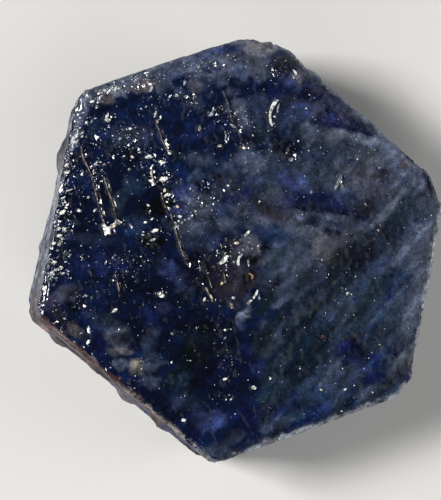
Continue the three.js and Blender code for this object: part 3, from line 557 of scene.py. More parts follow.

# Painted highlights where a scarp catches the light, and a few brown chips: place, half-length, half-width,
# turn, colour.
CHIPS = (
    (-7.6, 15.1, 0.18, 0.14, 40, "white"),
    (-7.7, 14.7, 0.25, 0.18, 0, "white"),
    (-3.4, 13.8, 0.33, 0.11, 60, "white"),
    (-3.5, 13.1, 0.15, 0.14, -20, "cream"),
    (-3.0, 16.1, 0.29, 0.11, 56, "pale"),
    (-3.3, 15.4, 0.18, 0.11, 40, "pale"),
    (-1.6, 14.9, 0.22, 0.11, 36, "white"),
    (-1.0, 14.8, 0.18, 0.11, 40, "white"),
    (-0.2, 14.4, 0.22, 0.14, 0, "white"),
    (0.1, 15.7, 0.33, 0.11, 66, "pale"),
    (1.5, 12.2, 0.36, 0.14, 46, "pale"),
    (0.0, 11.3, 0.29, 0.11, 66, "white"),
    (1.2, 9.2, 0.22, 0.14, 30, "white"),
    (3.0, 10.5, 0.29, 0.14, -40, "white"),
    (3.3, 8.3, 0.20, 0.16, 10, "cream"),
    (-5.2, 10.3, 0.33, 0.21, 0, "white"),
    (-4.3, 9.5, 0.29, 0.18, -10, "white"),
    (-4.7, 8.0, 0.29, 0.21, 10, "white"),
    (-5.7, 8.0, 0.33, 0.21, -40, "white"),
    (-5.5, 9.0, 0.51, 0.09, 68, "white"),
    (-4.9, 7.0, 0.22, 0.11, 60, "cream"),
    (-4.8, 6.5, 0.25, 0.14, 0, "white"),
    (-3.3, 10.1, 0.22, 0.18, 40, "green"),
    (-3.3, 10.7, 0.29, 0.09, 36, "green"),
    (-11.1, 5.3, 0.51, 0.32, -50, "white"),
    (-11.2, 5.8, 0.22, 0.14, -20, "white"),
    (-9.8, 5.6, 0.33, 0.18, -4, "white"),
    (-10.4, 5.5, 0.29, 0.18, 40, "cream"),
    (-12.9, 7.8, 0.25, 0.18, 10, "white"),
    (-11.5, 7.3, 0.22, 0.14, 40, "white"),
    (-14.3, 8.1, 0.29, 0.18, 30, "white"),
    (-12.7, 11.4, 0.22, 0.14, 30, "white"),
    (-12.2, 10.8, 0.25, 0.07, -34, "pale"),
    (-11.5, 10.8, 0.22, 0.07, 40, "pale"),
    (-9.1, 13.5, 0.18, 0.12, 10, "white"),
    (-6.5, 12.6, 0.25, 0.11, 0, "pale"),
    (-6.0, 13.3, 0.15, 0.11, -20, "white"),
    (-7.0, 3.8, 0.36, 0.14, 10, "white"),
    (-7.5, 4.8, 0.25, 0.11, 6, "white"),
    (-6.9, 4.9, 0.18, 0.11, 26, "white"),
    (-6.8, 6.2, 0.15, 0.11, -20, "white"),
    (-2.7, 6.3, 0.18, 0.11, 40, "white"),
    (0.7, 5.5, 0.11, 0.11, -20, "white"),
    (-0.3, 0.3, 0.29, 0.18, 0, "cream"),
    (-0.6, 0.5, 0.15, 0.14, -20, "brown"),
    (7.6, 11.4, 0.23, 0.10, 0, "pale"),
    (7.0, 5.9, 0.23, 0.16, 30, "pale"),
    (7.0, 6.8, 0.26, 0.10, 66, "olive"),
    (12.7, 6.6, 0.16, 0.13, 0, "mist"),
    (13.0, 6.3, 0.26, 0.08, -30, "mist"),
    (10.1, 13.3, 0.26, 0.11, -60, "white"),
    (7.8, 14.5, 0.20, 0.13, -20, "brown"),
    (9.3, 13.6, 0.16, 0.13, -20, "brown"),
    (6.3, 0.8, 0.13, 0.08, -20, "pale"),
    (12.5, -2.9, 0.13, 0.10, -20, "white"),
    (12.7, -3.3, 0.20, 0.08, -64, "brown"),
    (-8.4, -1.8, 0.29, 0.25, -10, "white"),
    (-8.1, -1.6, 0.15, 0.11, -20, "white"),
    (-12.8, -1.8, 0.33, 0.11, 30, "white"),
    (-14.8, 0.3, 0.15, 0.11, 0, "white"),
    (-15.2, -0.5, 0.15, 0.11, -20, "cream"),
    (-16.2, 3.4, 0.40, 0.14, 16, "white"),
    (-16.5, 4.1, 0.29, 0.11, 0, "white"),
    (-15.5, 3.8, 0.18, 0.07, 20, "pale"),
    (-16.0, 5.7, 0.29, 0.11, 20, "white"),
    (-15.3, 6.2, 0.25, 0.14, 0, "white"),
    (-4.8, -3.6, 0.22, 0.12, 60, "white"),
    (-4.1, -3.5, 0.29, 0.07, -80, "cream"),
    (-4.2, -2.7, 0.18, 0.07, -80, "brown"),
    (-0.1, -0.2, 0.13, 0.10, 10, "brown"),
    (-16.0, -3.7, 0.25, 0.09, 40, "white"),
    (-17.3, -1.0, 0.18, 0.11, -20, "pale"),
    (-16.3, -2.7, 0.22, 0.07, 30, "pale"),
    (-8.6, -5.5, 0.11, 0.11, -20, "white"),
    (-10.2, -13.2, 0.18, 0.14, 20, "white"),
    (-5.4, -11.0, 0.22, 0.14, 20, "white"),
    (-5.5, -12.9, 0.15, 0.11, 60, "white"),
    (-2.2, -4.3, 0.15, 0.11, 10, "white"),
    (-2.6, -4.9, 0.25, 0.18, -60, "cream"),
    (-2.5, -2.2, 0.22, 0.14, -70, "brown"),
    (-2.0, -1.7, 0.18, 0.11, -80, "brown"),
    (-2.8, -2.7, 0.18, 0.11, 60, "cream"),
    (7.9, -7.4, 0.16, 0.10, 56, "white"),
    (-1.5, -6.0, 0.26, 0.08, 32, "mist"),
    (-3.9, -6.8, 0.15, 0.11, -20, "white"),
    (-4.2, -7.5, 0.18, 0.07, 40, "pale"),
    (-3.2, -12.6, 0.20, 0.16, 0, "white"),
    (-1.5, -12.3, 0.16, 0.13, -60, "white"),
    (7.1, -11.3, 0.13, 0.13, -20, "brown"),
    (7.2, -11.2, 0.08, 0.07, -20, "cream"),
    (4.4, -10.4, 0.23, 0.13, -30, "darkbrown"),
    (2.6, -14.9, 0.13, 0.10, -20, "white"),
    (4.7, -15.6, 0.20, 0.10, 20, "white"),
    (5.2, -16.6, 0.10, 0.10, -20, "pale"),
    (6.0, -16.6, 0.10, 0.10, -20, "white"),
    (7.0, -16.7, 0.20, 0.10, -20, "pale"),
    (3.8, -17.4, 0.10, 0.08, -20, "cream"),
    (4.3, -12.7, 0.08, 0.08, -20, "white"),
    (1.4, -12.4, 0.08, 0.08, -20, "white"),
    (12.9, -10.5, 0.07, 0.07, -20, "white"),
    (12.2, -12.3, 0.08, 0.08, -20, "white"),
    (9.1, -12.8, 0.10, 0.08, -20, "cream"),
    (12.9, -5.5, 0.13, 0.10, 10, "mist"),
    (-3.9, -11.7, 0.10, 0.07, -20, "brown"),
    (-4.7, -9.9, 0.11, 0.07, -20, "brown"),
    (-4.2, -11.9, 0.13, 0.07, -80, "darkbrown"),
    (-4.2, -0.8, 0.29, 0.11, -90, "brown"),
    (-4.1, -0.2, 0.15, 0.11, -90, "brown"),
    (-10.2, -4.0, 0.11, 0.11, -20, "brown"),
    (-8.7, 15.2, 0.15, 0.11, 20, "pale"),
    (-7.2, 12.7, 0.15, 0.11, 30, "pale"),
    (-6.0, 11.0, 0.11, 0.11, -20, "white"),
    (-6.1, 9.6, 0.11, 0.11, -20, "pale"),
    (-7.9, 8.8, 0.11, 0.11, -20, "white"),
    (-9.3, 11.0, 0.11, 0.11, -20, "cream"),
    (-5.5, 13.2, 0.11, 0.07, -20, "pale"),
    (-4.0, 14.7, 0.15, 0.07, 40, "pale"),
    (0.6, 14.1, 0.15, 0.07, 50, "pale"),
    (4.9, 16.4, 0.22, 0.11, 30, "mist"),
    (3.4, 16.4, 0.11, 0.11, -20, "mist"),
    (-14.8, 7.4, 0.18, 0.11, 20, "white"),
    (-15.2, 6.8, 0.22, 0.11, 40, "white"),
    (-14.7, 6.7, 0.29, 0.09, -10, "white"),
    (-14.1, 6.3, 0.22, 0.07, -30, "white"),
    (-15.2, 6.0, 0.18, 0.11, -60, "white"),
    (-15.5, 5.5, 0.22, 0.14, 40, "white"),
    (-15.9, 5.0, 0.18, 0.11, 30, "white"),
    (-15.0, 4.2, 0.25, 0.07, 30, "white"),
    (-16.5, 3.4, 0.29, 0.09, 0, "white"),
    (-16.1, 2.9, 0.22, 0.09, 10, "white"),
    (-17.0, 3.3, 0.22, 0.11, 0, "white"),
    (-16.8, 2.7, 0.18, 0.09, 10, "pale"),
    (-12.7, 12.0, 0.18, 0.11, 40, "white"),
    (-13.1, 9.8, 0.33, 0.07, -4, "white"),
    (-13.8, 9.3, 0.18, 0.09, 40, "white"),
    (-13.7, 8.6, 0.18, 0.11, 30, "white"),
    (-7.4, 11.1, 0.18, 0.09, 30, "white"),
    (-6.7, 10.8, 0.15, 0.11, -20, "cream"),
    (-7.4, 9.8, 0.11, 0.14, 70, "white"),
    (-3.4, 10.0, 0.15, 0.11, -20, "white"),
    (-7.4, 3.1, 0.25, 0.11, 16, "white"),
    (-8.0, 2.9, 0.15, 0.07, -20, "green"),
    (-7.6, 3.7, 0.15, 0.09, -20, "cream"),
    (-11.7, 8.6, 0.18, 0.07, 40, "white"),
    (-12.3, 6.5, 0.18, 0.07, 10, "cream"),
    (-4.3, 5.2, 0.15, 0.11, -20, "cream"),
    (-4.4, 4.3, 0.18, 0.11, 0, "white"),
    (-4.4, 3.7, 0.15, 0.07, 20, "cream"),
    (-5.2, 3.5, 0.11, 0.07, -20, "cream"),
    (-6.9, 5.5, 0.11, 0.11, -20, "cream"),
    (-7.5, 16.9, 0.22, 0.09, 10, "white"),
    (-6.6, 17.0, 0.18, 0.07, -60, "white"),
    (-8.5, 16.7, 0.22, 0.09, 10, "white"),
    (-8.3, 16.0, 0.18, 0.07, 40, "pale"),
    (-9.5, 16.0, 0.22, 0.07, 0, "pale"),
    (-9.6, 15.1, 0.18, 0.09, 50, "white"),
    (-10.3, 14.8, 0.18, 0.07, 40, "white"),
    (-10.4, 14.0, 0.15, 0.09, 40, "white"),
    (-5.7, 17.1, 0.18, 0.11, 20, "white"),
    (-5.1, 17.5, 0.15, 0.09, 20, "pale"),
    (-4.3, 17.5, 0.18, 0.07, 40, "pale"),
)

# Cracks: the half-width of the painted highlight on each one's lit edge, its depth, and the points that it
# runs through.
CRACKS = (
    (0.072, 0.126, ((-10.8, 13.5), (-10.9, 12.1), (-10.8, 10.7), (-10.9, 9.1), (-11.1, 7.2), (-11.1, 5.5))),
    (0.065, 0.105, ((-9.7, 10.1), (-9.8, 8.7), (-9.8, 7.1), (-10.0, 5.7))),
    (0.05, 0.063, ((-12.5, 10.2), (-12.5, 9.0), (-12.6, 8.1))),
    (0.058, 0.042, ((3.1, 14.2), (3.2, 12.9), (3.1, 11.8), (3.1, 10.8))),
    (0.058, 0.042, ((3.2, 10.3), (3.3, 9.2), (3.3, 8.4))),
    (0.086, 0.126, ((-3.6, 13.2), (-3.6, 12.1), (-3.6, 11.2), (-3.5, 10.3))),
    (0.072, 0.126, ((-5.4, 9.5), (-5.6, 8.6), (-5.6, 7.8))),
    (0.079, 0.126, ((-5.3, 6.9), (-5.4, 5.6), (-5.2, 5.1))),
    (0.079, 0.133, ((-5.1, 4.9), (-5.2, 3.6), (-5.3, 2.5), (-5.3, 1.4), (-5.2, 0.2), (-5.1, -0.4))),
    (0.058, 0.084, ((-1.7, 0.8), (-1.7, 0.0), (-1.6, -0.6))),
    (0.058, 0.084, ((-2.3, -1.8), (-2.5, -2.8))),
    (0.072, 0.105, ((-4.3, -2.5), (-4.2, -3.2), (-4.1, -4.1))),
    (0.043, 0.063, ((-3.7, -0.3), (-3.7, -1.6), (-3.8, -3.0))),
    (0.05, 0.063, ((-13.7, 2.5), (-13.7, 1.7), (-13.8, 1.1))),
    (0.065, 0.084, ((-11.7, 1.4), (-11.8, 0.3), (-12.0, -0.9))),
)

# Painted highlights of splinters along a scarp, and one ochre streak: colour, half-width, depth and points.
SPLINTERS = (
    ("glass", 0.17, 0.07, ((7.6, 11.5), (7.1, 11.1), (6.7, 10.6), (6.5, 10.0), (6.4, 9.3))),
    ("pale", 0.09, 0.07, ((7.7, 11.1), (7.4, 10.7), (7.3, 10.3))),
    ("pale", 0.13, 0.07, ((11.0, 3.1), (10.7, 2.7), (10.3, 2.3), (10.0, 1.9))),
    ("pale", 0.08, 0.07, ((2.1, 10.3), (2.1, 9.9), (1.8, 9.4))),
    ("glass", 0.15, 0.056, ((-1.3, -5.3), (-0.9, -5.1), (-0.4, -4.9), (0.0, -4.6), (0.2, -4.3))),
    ("glass", 0.17, 0.056, ((-0.1, -0.8), (-0.5, -1.0), (-0.7, -1.3), (-0.8, -1.7))),
    ("glass", 0.22, 0.056, ((-2.4, -1.0), (-2.0, -0.8), (-1.6, -0.6))),
    ("glass", 0.16, 0.056, ((0.6, 0.6), (1.0, 0.8), (1.3, 1.0))),
    ("ochre", 0.11, 0.035, ((-0.2, -2.6), (0.1, -3.0), (-0.1, -3.3))),
)

# The cracks' sand-coloured edges are painted highlights.
SCRATCHES = tuple(("sand", *crack) for crack in CRACKS) + SPLINTERS

# ---------------------------------------------------------------- noise, for many points at once


def lattice(ix, iy, iz, seed):
    """A fixed random number from 0 to 1 for each whole-number point, from mixing up its bits."""
    h = (ix * 374761393 + iy * 668265263 + iz * 2147483647 + seed * 1274126177) & 0xFFFFFFFF
    h = ((h ^ (h >> 13)) * 1274126177) & 0xFFFFFFFF
    h = ((h ^ (h >> 16)) * 2246822519) & 0xFFFFFFFF
    return ((h ^ (h >> 15)) & 0xFFFFFF) / float(0x1000000)


def cloud(points, size, seed):
    """Smooth noise from -1 to 1 with lumps of the given size."""
    p = points / size
    low = np.floor(p).astype(np.int64)
    f = p - low
    f = f * f * (3 - 2 * f)
    total = 0
    for dx in (0, 1):
        wx = f[:, 0] if dx else 1 - f[:, 0]
        for dy in (0, 1):
            wy = f[:, 1] if dy else 1 - f[:, 1]
            for dz in (0, 1):
                wz = f[:, 2] if dz else 1 - f[:, 2]
                total = total + wx * wy * wz * lattice(
                    low[:, 0] + dx, low[:, 1] + dy, low[:, 2] + dz, seed
                )
    return total * 2 - 1


def clouds(points, size, octaves, seed, rough=0.5):
    """Several sizes of noise added up, from -1 to 1."""
    total = 0
    weight = 1.0
    whole = 0.0
    for i in range(octaves):
        total = total + weight * cloud(points, size=size / 2**i, seed=seed + 31 * i)
        whole += weight
        weight *= rough
    return total / whole


def cells(x, y, size, seed):
    """Crazed cells: each point's height on its cell's own tilted plane, and the cell's level."""
    gx = np.floor(x / size).astype(np.int64)
    gy = np.floor(y / size).astype(np.int64)
    nearest = np.full(x.shape, 1e9)
    off_x = np.zeros(x.shape)
    off_y = np.zeros(x.shape)
    cell_x = np.zeros(x.shape, dtype=np.int64)
    cell_y = np.zeros(x.shape, dtype=np.int64)
    for dx in (-1, 0, 1):
        for dy in (-1, 0, 1):
            cx, cy = gx + dx, gy + dy
            px = (cx + 0.1 + 0.8 * lattice(cx, cy, 0, seed)) * size
            py = (cy + 0.1 + 0.8 * lattice(cx, cy, 1, seed)) * size
            d = np.hypot(x - px, y - py)
            closer = d < nearest
            nearest = np.where(closer, d, nearest)
            off_x = np.where(closer, x - px, off_x)
            off_y = np.where(closer, y - py, off_y)
            cell_x = np.where(closer, cx, cell_x)
            cell_y = np.where(closer, cy, cell_y)
    tilt_x = lattice(cell_x, cell_y, 2, seed) * 2 - 1
    tilt_y = lattice(cell_x, cell_y, 3, seed) * 2 - 1
    level = lattice(cell_x, cell_y, 4, seed) * 2 - 1
    return tilt_x * off_x + tilt_y * off_y, level


def step(low, high, value):
    """0 at low, 1 at high, and a smooth rise between."""
    t = np.clip((value - low) / (high - low), 0, 1)
    return t * t * (3 - 2 * t)


def ridge(distance, width):
    """1 at a distance of 0, falling off smoothly over the width on both sides."""
    return np.exp(-((distance / width) ** 2))


# ---------------------------------------------------------------- places on the stone


class Finder:
    """Finds the points near a place quickly."""

    def __init__(self, x, y):
        self.order = np.argsort(x)
        self.x = x[self.order]
        self.y = y[self.order]

    def near(self, place, reach):
        first, last = np.searchsorted(self.x, (place[0] - reach, place[0] + reach))
        close = np.abs(self.y[first:last] - place[1]) < reach
        return self.order[first:last][close]


def within(x, y, place, turn, half_length, half_width):
    """How far out each point is in a turned oval or box, as (along, across), 1 at its edge."""
    a = math.radians(turn)
    dx, dy = x - place[0], y - place[1]
    along = (dx * math.cos(a) + dy * math.sin(a)) / half_length
    across = (dy * math.cos(a) - dx * math.sin(a)) / half_width
    return along, across


def fields(areas, points, least):
    """The strongest of some soft-edged areas at each point, broken up by noise."""
    x, y = points[:, 0], points[:, 1]
    x = x + 0.5 * clouds(points, size=2.6, octaves=3, seed=151)
    y = y + 0.5 * clouds(points, size=2.6, octaves=3, seed=152)
    most = np.full(x.shape, least)
    for px, py, length, width, turn, share in areas:
        along, across = within(x, y, (px, py), turn, length, width)
        most = np.maximum(most, share * step(1.25, 0.5, np.hypot(along, across)))
    return np.clip(most * np.exp(1.1 * clouds(points, size=2.0, octaves=2, seed=153)), 0, 1)


def near_line(x, y, path):
    """Each point's distance from a bent line, above 0 to its right, and its place along it."""
    best = np.full(x.shape, 1e9)
    side = np.zeros(x.shape)
    share = np.zeros(x.shape)
    lengths = [math.dist(a, b) for a, b in zip(path, path[1:])]
    run = 0.0
    for (ax, ay), (bx, by), length in zip(path, path[1:], lengths):
        ux, uy = (bx - ax) / length, (by - ay) / length
        t = np.clip((x - ax) * ux + (y - ay) * uy, 0, length)
        d = np.hypot(x - ax - t * ux, y - ay - t * uy)
        closer = d < best
        best = np.where(closer, d, best)
        side = np.where(closer, (x - ax) * uy - (y - ay) * ux, side)
        share = np.where(closer, (run + t) / sum(lengths), share)
        run += length
    return best * np.sign(side), share


def near_scratch(points, path):
    """The same for a crack or splinter, which wanders a little off its line."""
    wander = 0.07 * cloud(points, size=1.1, seed=61)
    return near_line(points[:, 0] + wander, points[:, 1], path)


def chip_shape(x, y, place, length, width, turn):
    """How far inside the edge of a ragged splinter each point lies: a lozenge with one blunt end."""
    along, across = within(x, y, place, turn, length, width)
    ragged = 0.5 * clouds(np.stack([x, y, 0 * x]).T, size=0.26, octaves=2, seed=141)
    lozenge = 0.85 * np.abs(across + 0.35 * along) + 0.75 * np.abs(along)
    out = np.maximum(lozenge, 0.85 * np.hypot(along, across)) + ragged
    return (1.0 - out) * min(length, width)


def in_from_rim(x, y):
    """How far in from the stone's outline each point lies, and the way its nearest side looks."""
    gap = np.full(x.shape, 1e9)
    facing = np.zeros(x.shape)
    for azimuth, distance in FACES:
        a = math.radians(azimuth)
        in_from_face = distance - x * math.cos(a) - y * math.sin(a)
        facing = np.where(in_from_face < gap, azimuth, facing)
        gap = np.minimum(gap, in_from_face)
    return gap, facing


def ribs_at(points):
    """Level ribs round the walls, from -1 to 1, that fade out in places."""
    ribs = cloud(points * (0.12, 0.12, 1), size=0.28, seed=81)
    return ribs * step(-0.3, 0.5, clouds(points * (1, 1, 2), size=4.5, octaves=3, seed=84))


# ---------------------------------------------------------------- the stone's body


def settle(piece):
    """Turns the piece's modifiers into plain mesh."""
    shown = piece.evaluated_get(bpy.context.evaluated_depsgraph_get())
    settled = bpy.data.meshes.new_from_object(shown)
    piece.modifiers.clear()
    piece.data = settled


def points_of(mesh):
    """The mesh's points as an array, a row for each."""
    flat = np.empty(len(mesh.vertices) * 3, dtype=np.float32)
    mesh.vertices.foreach_get("co", flat)
    return flat.reshape(-1, 3).astype(np.float64)


def normals_of(mesh):
    """The way the mesh faces at each of its points."""
    flat = np.empty(len(mesh.vertices) * 3, dtype=np.float32)
    mesh.vertex_normals.foreach_get("vector", flat)
    return flat.reshape(-1, 3).astype(np.float64)


def move_points(mesh, points):
    """Puts the mesh's points at new places."""
    mesh.vertices.foreach_set("co", points.astype(np.float32).ravel())
    mesh.update()


def crystal_body():
    """The solid crystal under one fine even skin, in millimetres from its c-axis."""
    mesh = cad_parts["sapphire_crystal"].data.copy()
    solid = bmesh.new()
    solid.from_mesh(mesh)
    bmesh.ops.remove_doubles(solid, verts=solid.verts, dist=1e-7)
    bmesh.ops.scale(solid, vec=(1 / MM, 1 / MM, 1 / MM), verts=solid.verts)
    bmesh.ops.translate(solid, vec=(-AXIS[0], -AXIS[1], 0), verts=solid.verts)
    solid.to_mesh(mesh)
    solid.free()
    mesh.materials.clear()
    stone = bpy.data.objects.new("rough_stone", mesh)
    bpy.context.scene.collection.objects.link(stone)
    skin = stone.modifiers.new("skin", "REMESH")
    skin.mode = "VOXEL"
    skin.voxel_size = SKIN_FACE
    settle(stone)
    return stone


def crazing(points, rough):
    """The front face's own relief: slow waves, then crazed facets in three sizes, then grain."""
    x, y = points[:, 0], points[:, 1]
    waves = 0.05 * clouds(points, size=7.0, octaves=2, seed=11)
    rise = waves + 0.02 * clouds(points, size=2.2, octaves=3, seed=12)
    for size, tilt, lift, seed in FACETS:
        warp_x = 0.35 * size * cloud(points, size=size, seed=seed + 50)
        warp_y = 0.35 * size * cloud(points, size=size, seed=seed + 51)
        slope, level = cells(x + warp_x, y + warp_y, size, seed)
        rise = rise + rough * (tilt * slope + lift * level)
    return rise + 0.012 * rough * clouds(points, size=0.4, octaves=2, seed=31)


def raise_chips(points, rise):
    """Each chip rises towards the east and ends there in a little scarp."""
    x, y = points[:, 0], points[:, 1]
    finder = Finder(x, y)
    for px, py, length, width, turn, _ in CHIPS:
        near = finder.near((px, py), 2 * max(length, width))
        deep = chip_shape(x[near], y[near], (px, py), length * 1.2, width * 1.2, turn)
        slope = np.clip((x[near] - px) * 0.9 - (y[near] - py) * 0.4, -0.4, 0.4)
        rise[near] += step(-0.05, 0.05, deep) * (0.5 * slope + 0.05)


def cut_scratches(points, rise):
    """Cracks and splinters are cut in just west of their light edges, and run out at both ends."""
    for _, _, depth, path in SCRATCHES:
        d, share = near_scratch(points, path)
        strength = step(0, 0.08, share) * step(1, 0.92, share)
        rise -= strength * depth * ridge(d + 0.12, 0.15)


def wear_rim(points, gap, rise):
    """The front's rim is worn round, chipped and crumbly."""
    rim = step(0.75, 0.0, gap + 0.25 * clouds(points, size=1.4, octaves=3, seed=71))
    rise -= rim * (0.12 + 0.3 * np.clip(clouds(points, size=0.9, octaves=2, seed=72), 0, 1))
    rise += 0.14 * step(1.4, 0.2, gap) * clouds(points, size=0.5, octaves=2, seed=74)


def bite_rim(points, gap, facing):
    """Bites out of the top of the walls."""
    x, y, z = points.T
    bites = 0.4 * np.clip(clouds(points, size=0.9, octaves=3, seed=73), 0, 1)
    bites = bites * step(0.9, 0.2, gap) * step(9.5, 11, z)
    x -= bites * np.cos(np.radians(facing))
    y -= bites * np.sin(np.radians(facing))


def break_walls(points, normals, wall, facing):
    """Ledges that wander up and down, and facets left by flaking, ribs, hollows and crumbs."""
    x, y, z = points.T
    side = np.radians(facing)
    along = y * np.cos(side) - x * np.sin(side) + 0.9 * clouds(points, size=2.4, octaves=2, seed=85)
    slope, level = cells(along, 1.5 * z + 0.9 * clouds(points, size=2.4, octaves=2, seed=88), 2.8, 86)
    hollows = np.clip(clouds(points * (1, 1, 1.8), size=1.6, octaves=3, seed=82), -1, 0.15)
    crumbs = clouds(points, size=0.9, octaves=3, seed=83, rough=0.7)
    push = 0.14 * slope + 0.12 * level + 0.06 * ribs_at(points) + 0.2 * hollows + 0.14 * crumbs
    push = wall * np.minimum(push, 0.03)
    wave = clouds(points * (1, 1, 0.5), size=3.4, octaves=3, seed=87, rough=0.6)
    z += 0.4 * step(0.2, 2.5, z) * step(11.4, 9.6, z) * wave
    x += push * normals[:, 0]
    y += push * normals[:, 1]


def roughen(stone):
    """Wears, pits and breaks the even skin the way the crystal's faces are."""
    points = points_of(stone.data)
    normals = normals_of(stone.data)
    x, y, z = points.T
    front = step(0.55, 0.85, normals[:, 2]) * step(10.8, 11.2, z)
    wall = step(0.6, 0.2, np.abs(normals[:, 2])) * step(0.05, 0.5, z)
    rough = 0.3 + 1.3 * fields(GLITTER, points, 0.0)
    gap, facing = in_from_rim(x, y)

    # Away from the rim, the solid's breaks and terraces are mostly levelled.
    z -= 0.7 * step(0.5, 1.2, gap) * step(9.5, 10.5, z) * (z - FRONT)

    rise = crazing(points, rough)
    raise_chips(points, rise)
    cut_scratches(points, rise)
    wear_rim(points, gap, rise)
    z += front * rise
    z -= 0.5 * np.maximum(z - FRONT - PROUD, 0)

    bite_rim(points, gap, facing)
    break_walls(points, normals, wall, facing)
    move_points(stone.data, points)


def etch(stone):
    """Three-cornered pits, all turned the same way, crowded in the west."""
    points = points_of(stone.data)
    x, y, z = points.T
    front = step(0.4, 0.8, normals_of(stone.data)[:, 2]) * step(10.8, 11.2, z)
    top = np.flatnonzero(front > 0.01)
    finder = Finder(x[top], y[top])
    random = np.random.default_rng(3)
    spots = random.uniform(-REACH, REACH, (PIT_TRIES, 2))
    flat = np.column_stack([spots, np.full(len(spots), FRONT)])
    kept = random.random(len(spots)) < 0.1 + fields(GLITTER, flat, 0.0)
    for (px, py), radius in zip(spots[kept], random.uniform(*PIT_RADIUS, kept.sum())):
        near = top[finder.near((px, py), radius)]
        dx, dy = x[near] - px, y[near] - py
        out = np.max([dx * math.cos(a) + dy * math.sin(a) for a in PIT_WAYS], axis=0)
        depth = np.clip(1 - out / (radius / 2), 0, 1)
        z[near] -= front[near] * depth * radius * 0.45
    move_points(stone.data, points)


def thin_out(stone, limit):
    """Fewer faces, most of them taken from the walls and the base, which need the fewest."""
    mesh = stone.data
    points = points_of(mesh)
    front = step(10.6, 11.2, points[:, 2]) * step(0.2, 0.5, normals_of(mesh)[:, 2])
    group = stone.vertex_groups.new(name="spare")
    weights = 1 - SPARED * front
    for level in np.unique(np.round(weights, 3)):
        chosen = np.flatnonzero(np.abs(weights - level) < 0.0006)
        group.add(chosen.tolist(), float(level), "REPLACE")
    triangles = len(mesh.polygons) * 2
    fewer = stone.modifiers.new("fewer", "DECIMATE")
    fewer.ratio = limit / triangles
    fewer.vertex_group = "spare"
    fewer.vertex_group_factor = 0.1
    settle(stone)
    stone.vertex_groups.clear()


# ---------------------------------------------------------------- what colours the stone

GLOSS = 0.0045  # light that the glassy surface adds over every colour
DARKEST = 0.0006  # the least of a colour that is left below it
CHIP_REACH = -0.3  # how far outside its edge a mark still hands its colour to the points there


def linear(colour):
    """A named colour as the shader's own numbers."""
    c = np.array(COLOURS[colour]) / 255.0
    c = np.where(c <= 0.04045, c / 12.92, ((c + 0.055) / 1.055) ** 2.4)
    return np.maximum(c - GLOSS, DARKEST)


def blend(tint, colour, share):
    """Moves each point's colour towards a named colour."""
    return tint + (linear(colour) - tint) * np.clip(share, 0, 1)[:, None]


def wall_at(points, normals):
    """1 on the walls and on the back, 0 on the front."""
    wall = step(0.65, 0.35, normals[:, 2]) * step(0.0, 0.3, FRONT - points[:, 2])
    return np.maximum(wall, step(11.0, 10.6, points[:, 2]))


def crumbs_at(points):
    """Fine noise that crumbles the edges of the walls' and the rim's colours."""
    return clouds(points, size=0.5, octaves=3, seed=134, rough=0.7)


def bearing_at(points):
    """The way that each point lies from the c-axis, in degrees, with a wide wander."""
    bearing = np.degrees(np.arctan2(points[:, 1], points[:, 0])) % 360
    return bearing + 22 * clouds(points, size=5.0, octaves=3, seed=135)


def paint_zones(points, drift_x, drift_y):
    """The front's zones over dark blue. They are frayed, and the small ones are patchy too."""
    x, y = points[:, 0], points[:, 1]
    tint = np.tile(linear("navy"), (len(points), 1))
    frayed = 1.1 * clouds(points, size=1.2, octaves=4, seed=106, rough=0.7)
    broken = 0.6 + 0.8 * step(-0.2, 0.2, clouds(points, size=0.55, octaves=3, seed=107, rough=0.7))
    finder = Finder(x, y)
    for px, py, length, width, turn, colour, share in ZONES:
        near = finder.near((px, py), 1.6 * max(length, width) + 1.0)
        bend = min(1.0, 0.3 + 0.3 * min(length, width))
        zone_x, zone_y = x[near] + bend * drift_x[near], y[near] + bend * drift_y[near]
        along, across = within(zone_x, zone_y, (px, py), turn, length, width)
        fade = step(1.25, 0.65, np.hypot(along, across) + (0.1 + bend) * frayed[near])
        patchy = broken[near] if min(length, width) < 1.0 else 1.0
        tint[near] = blend(tint[near], colour, share * fade * patchy)
    return tint


def paint_streaks(points, tint, drift_x, drift_y):
    """Growth streaks, strongest in the south-east, and elsewhere mottling from clots to grains."""
    x, y, z = points.T
    a = math.radians(STREAKS_RUN)
    across = y * math.cos(a) - x * math.sin(a)
    along = x * math.cos(a) + y * math.sin(a)
    drawn_out = np.stack([across, along * 0.09, z * 0.3]).T
    streaked = 0.25 + 0.75 * step(1.5, -1.5, y - 0.47 * x + 5.5)
    streaked = streaked * np.maximum(0.35 + 0.65 * step(-4, -1, x), step(-3, -7, y))
    shade = clouds(drawn_out + 0.1 * drift_x[:, None], size=1.7, octaves=4, seed=111, rough=0.65)
    threads = drawn_out * (1, 2.2, 1) + 0.05 * drift_y[:, None]
    shade += 0.6 * clouds(threads, size=0.6, octaves=3, seed=112, rough=0.6)
    tint = tint * np.exp(1.4 * streaked * shade)[:, None]
    mottled = 1 - 0.55 * streaked
    tint = tint * np.exp(0.9 * mottled * clouds(points, size=1.7, octaves=3, seed=121, rough=0.7))[:, None]
    return tint * np.exp(0.75 * mottled * clouds(points, size=0.5, octaves=2, seed=122))[:, None]


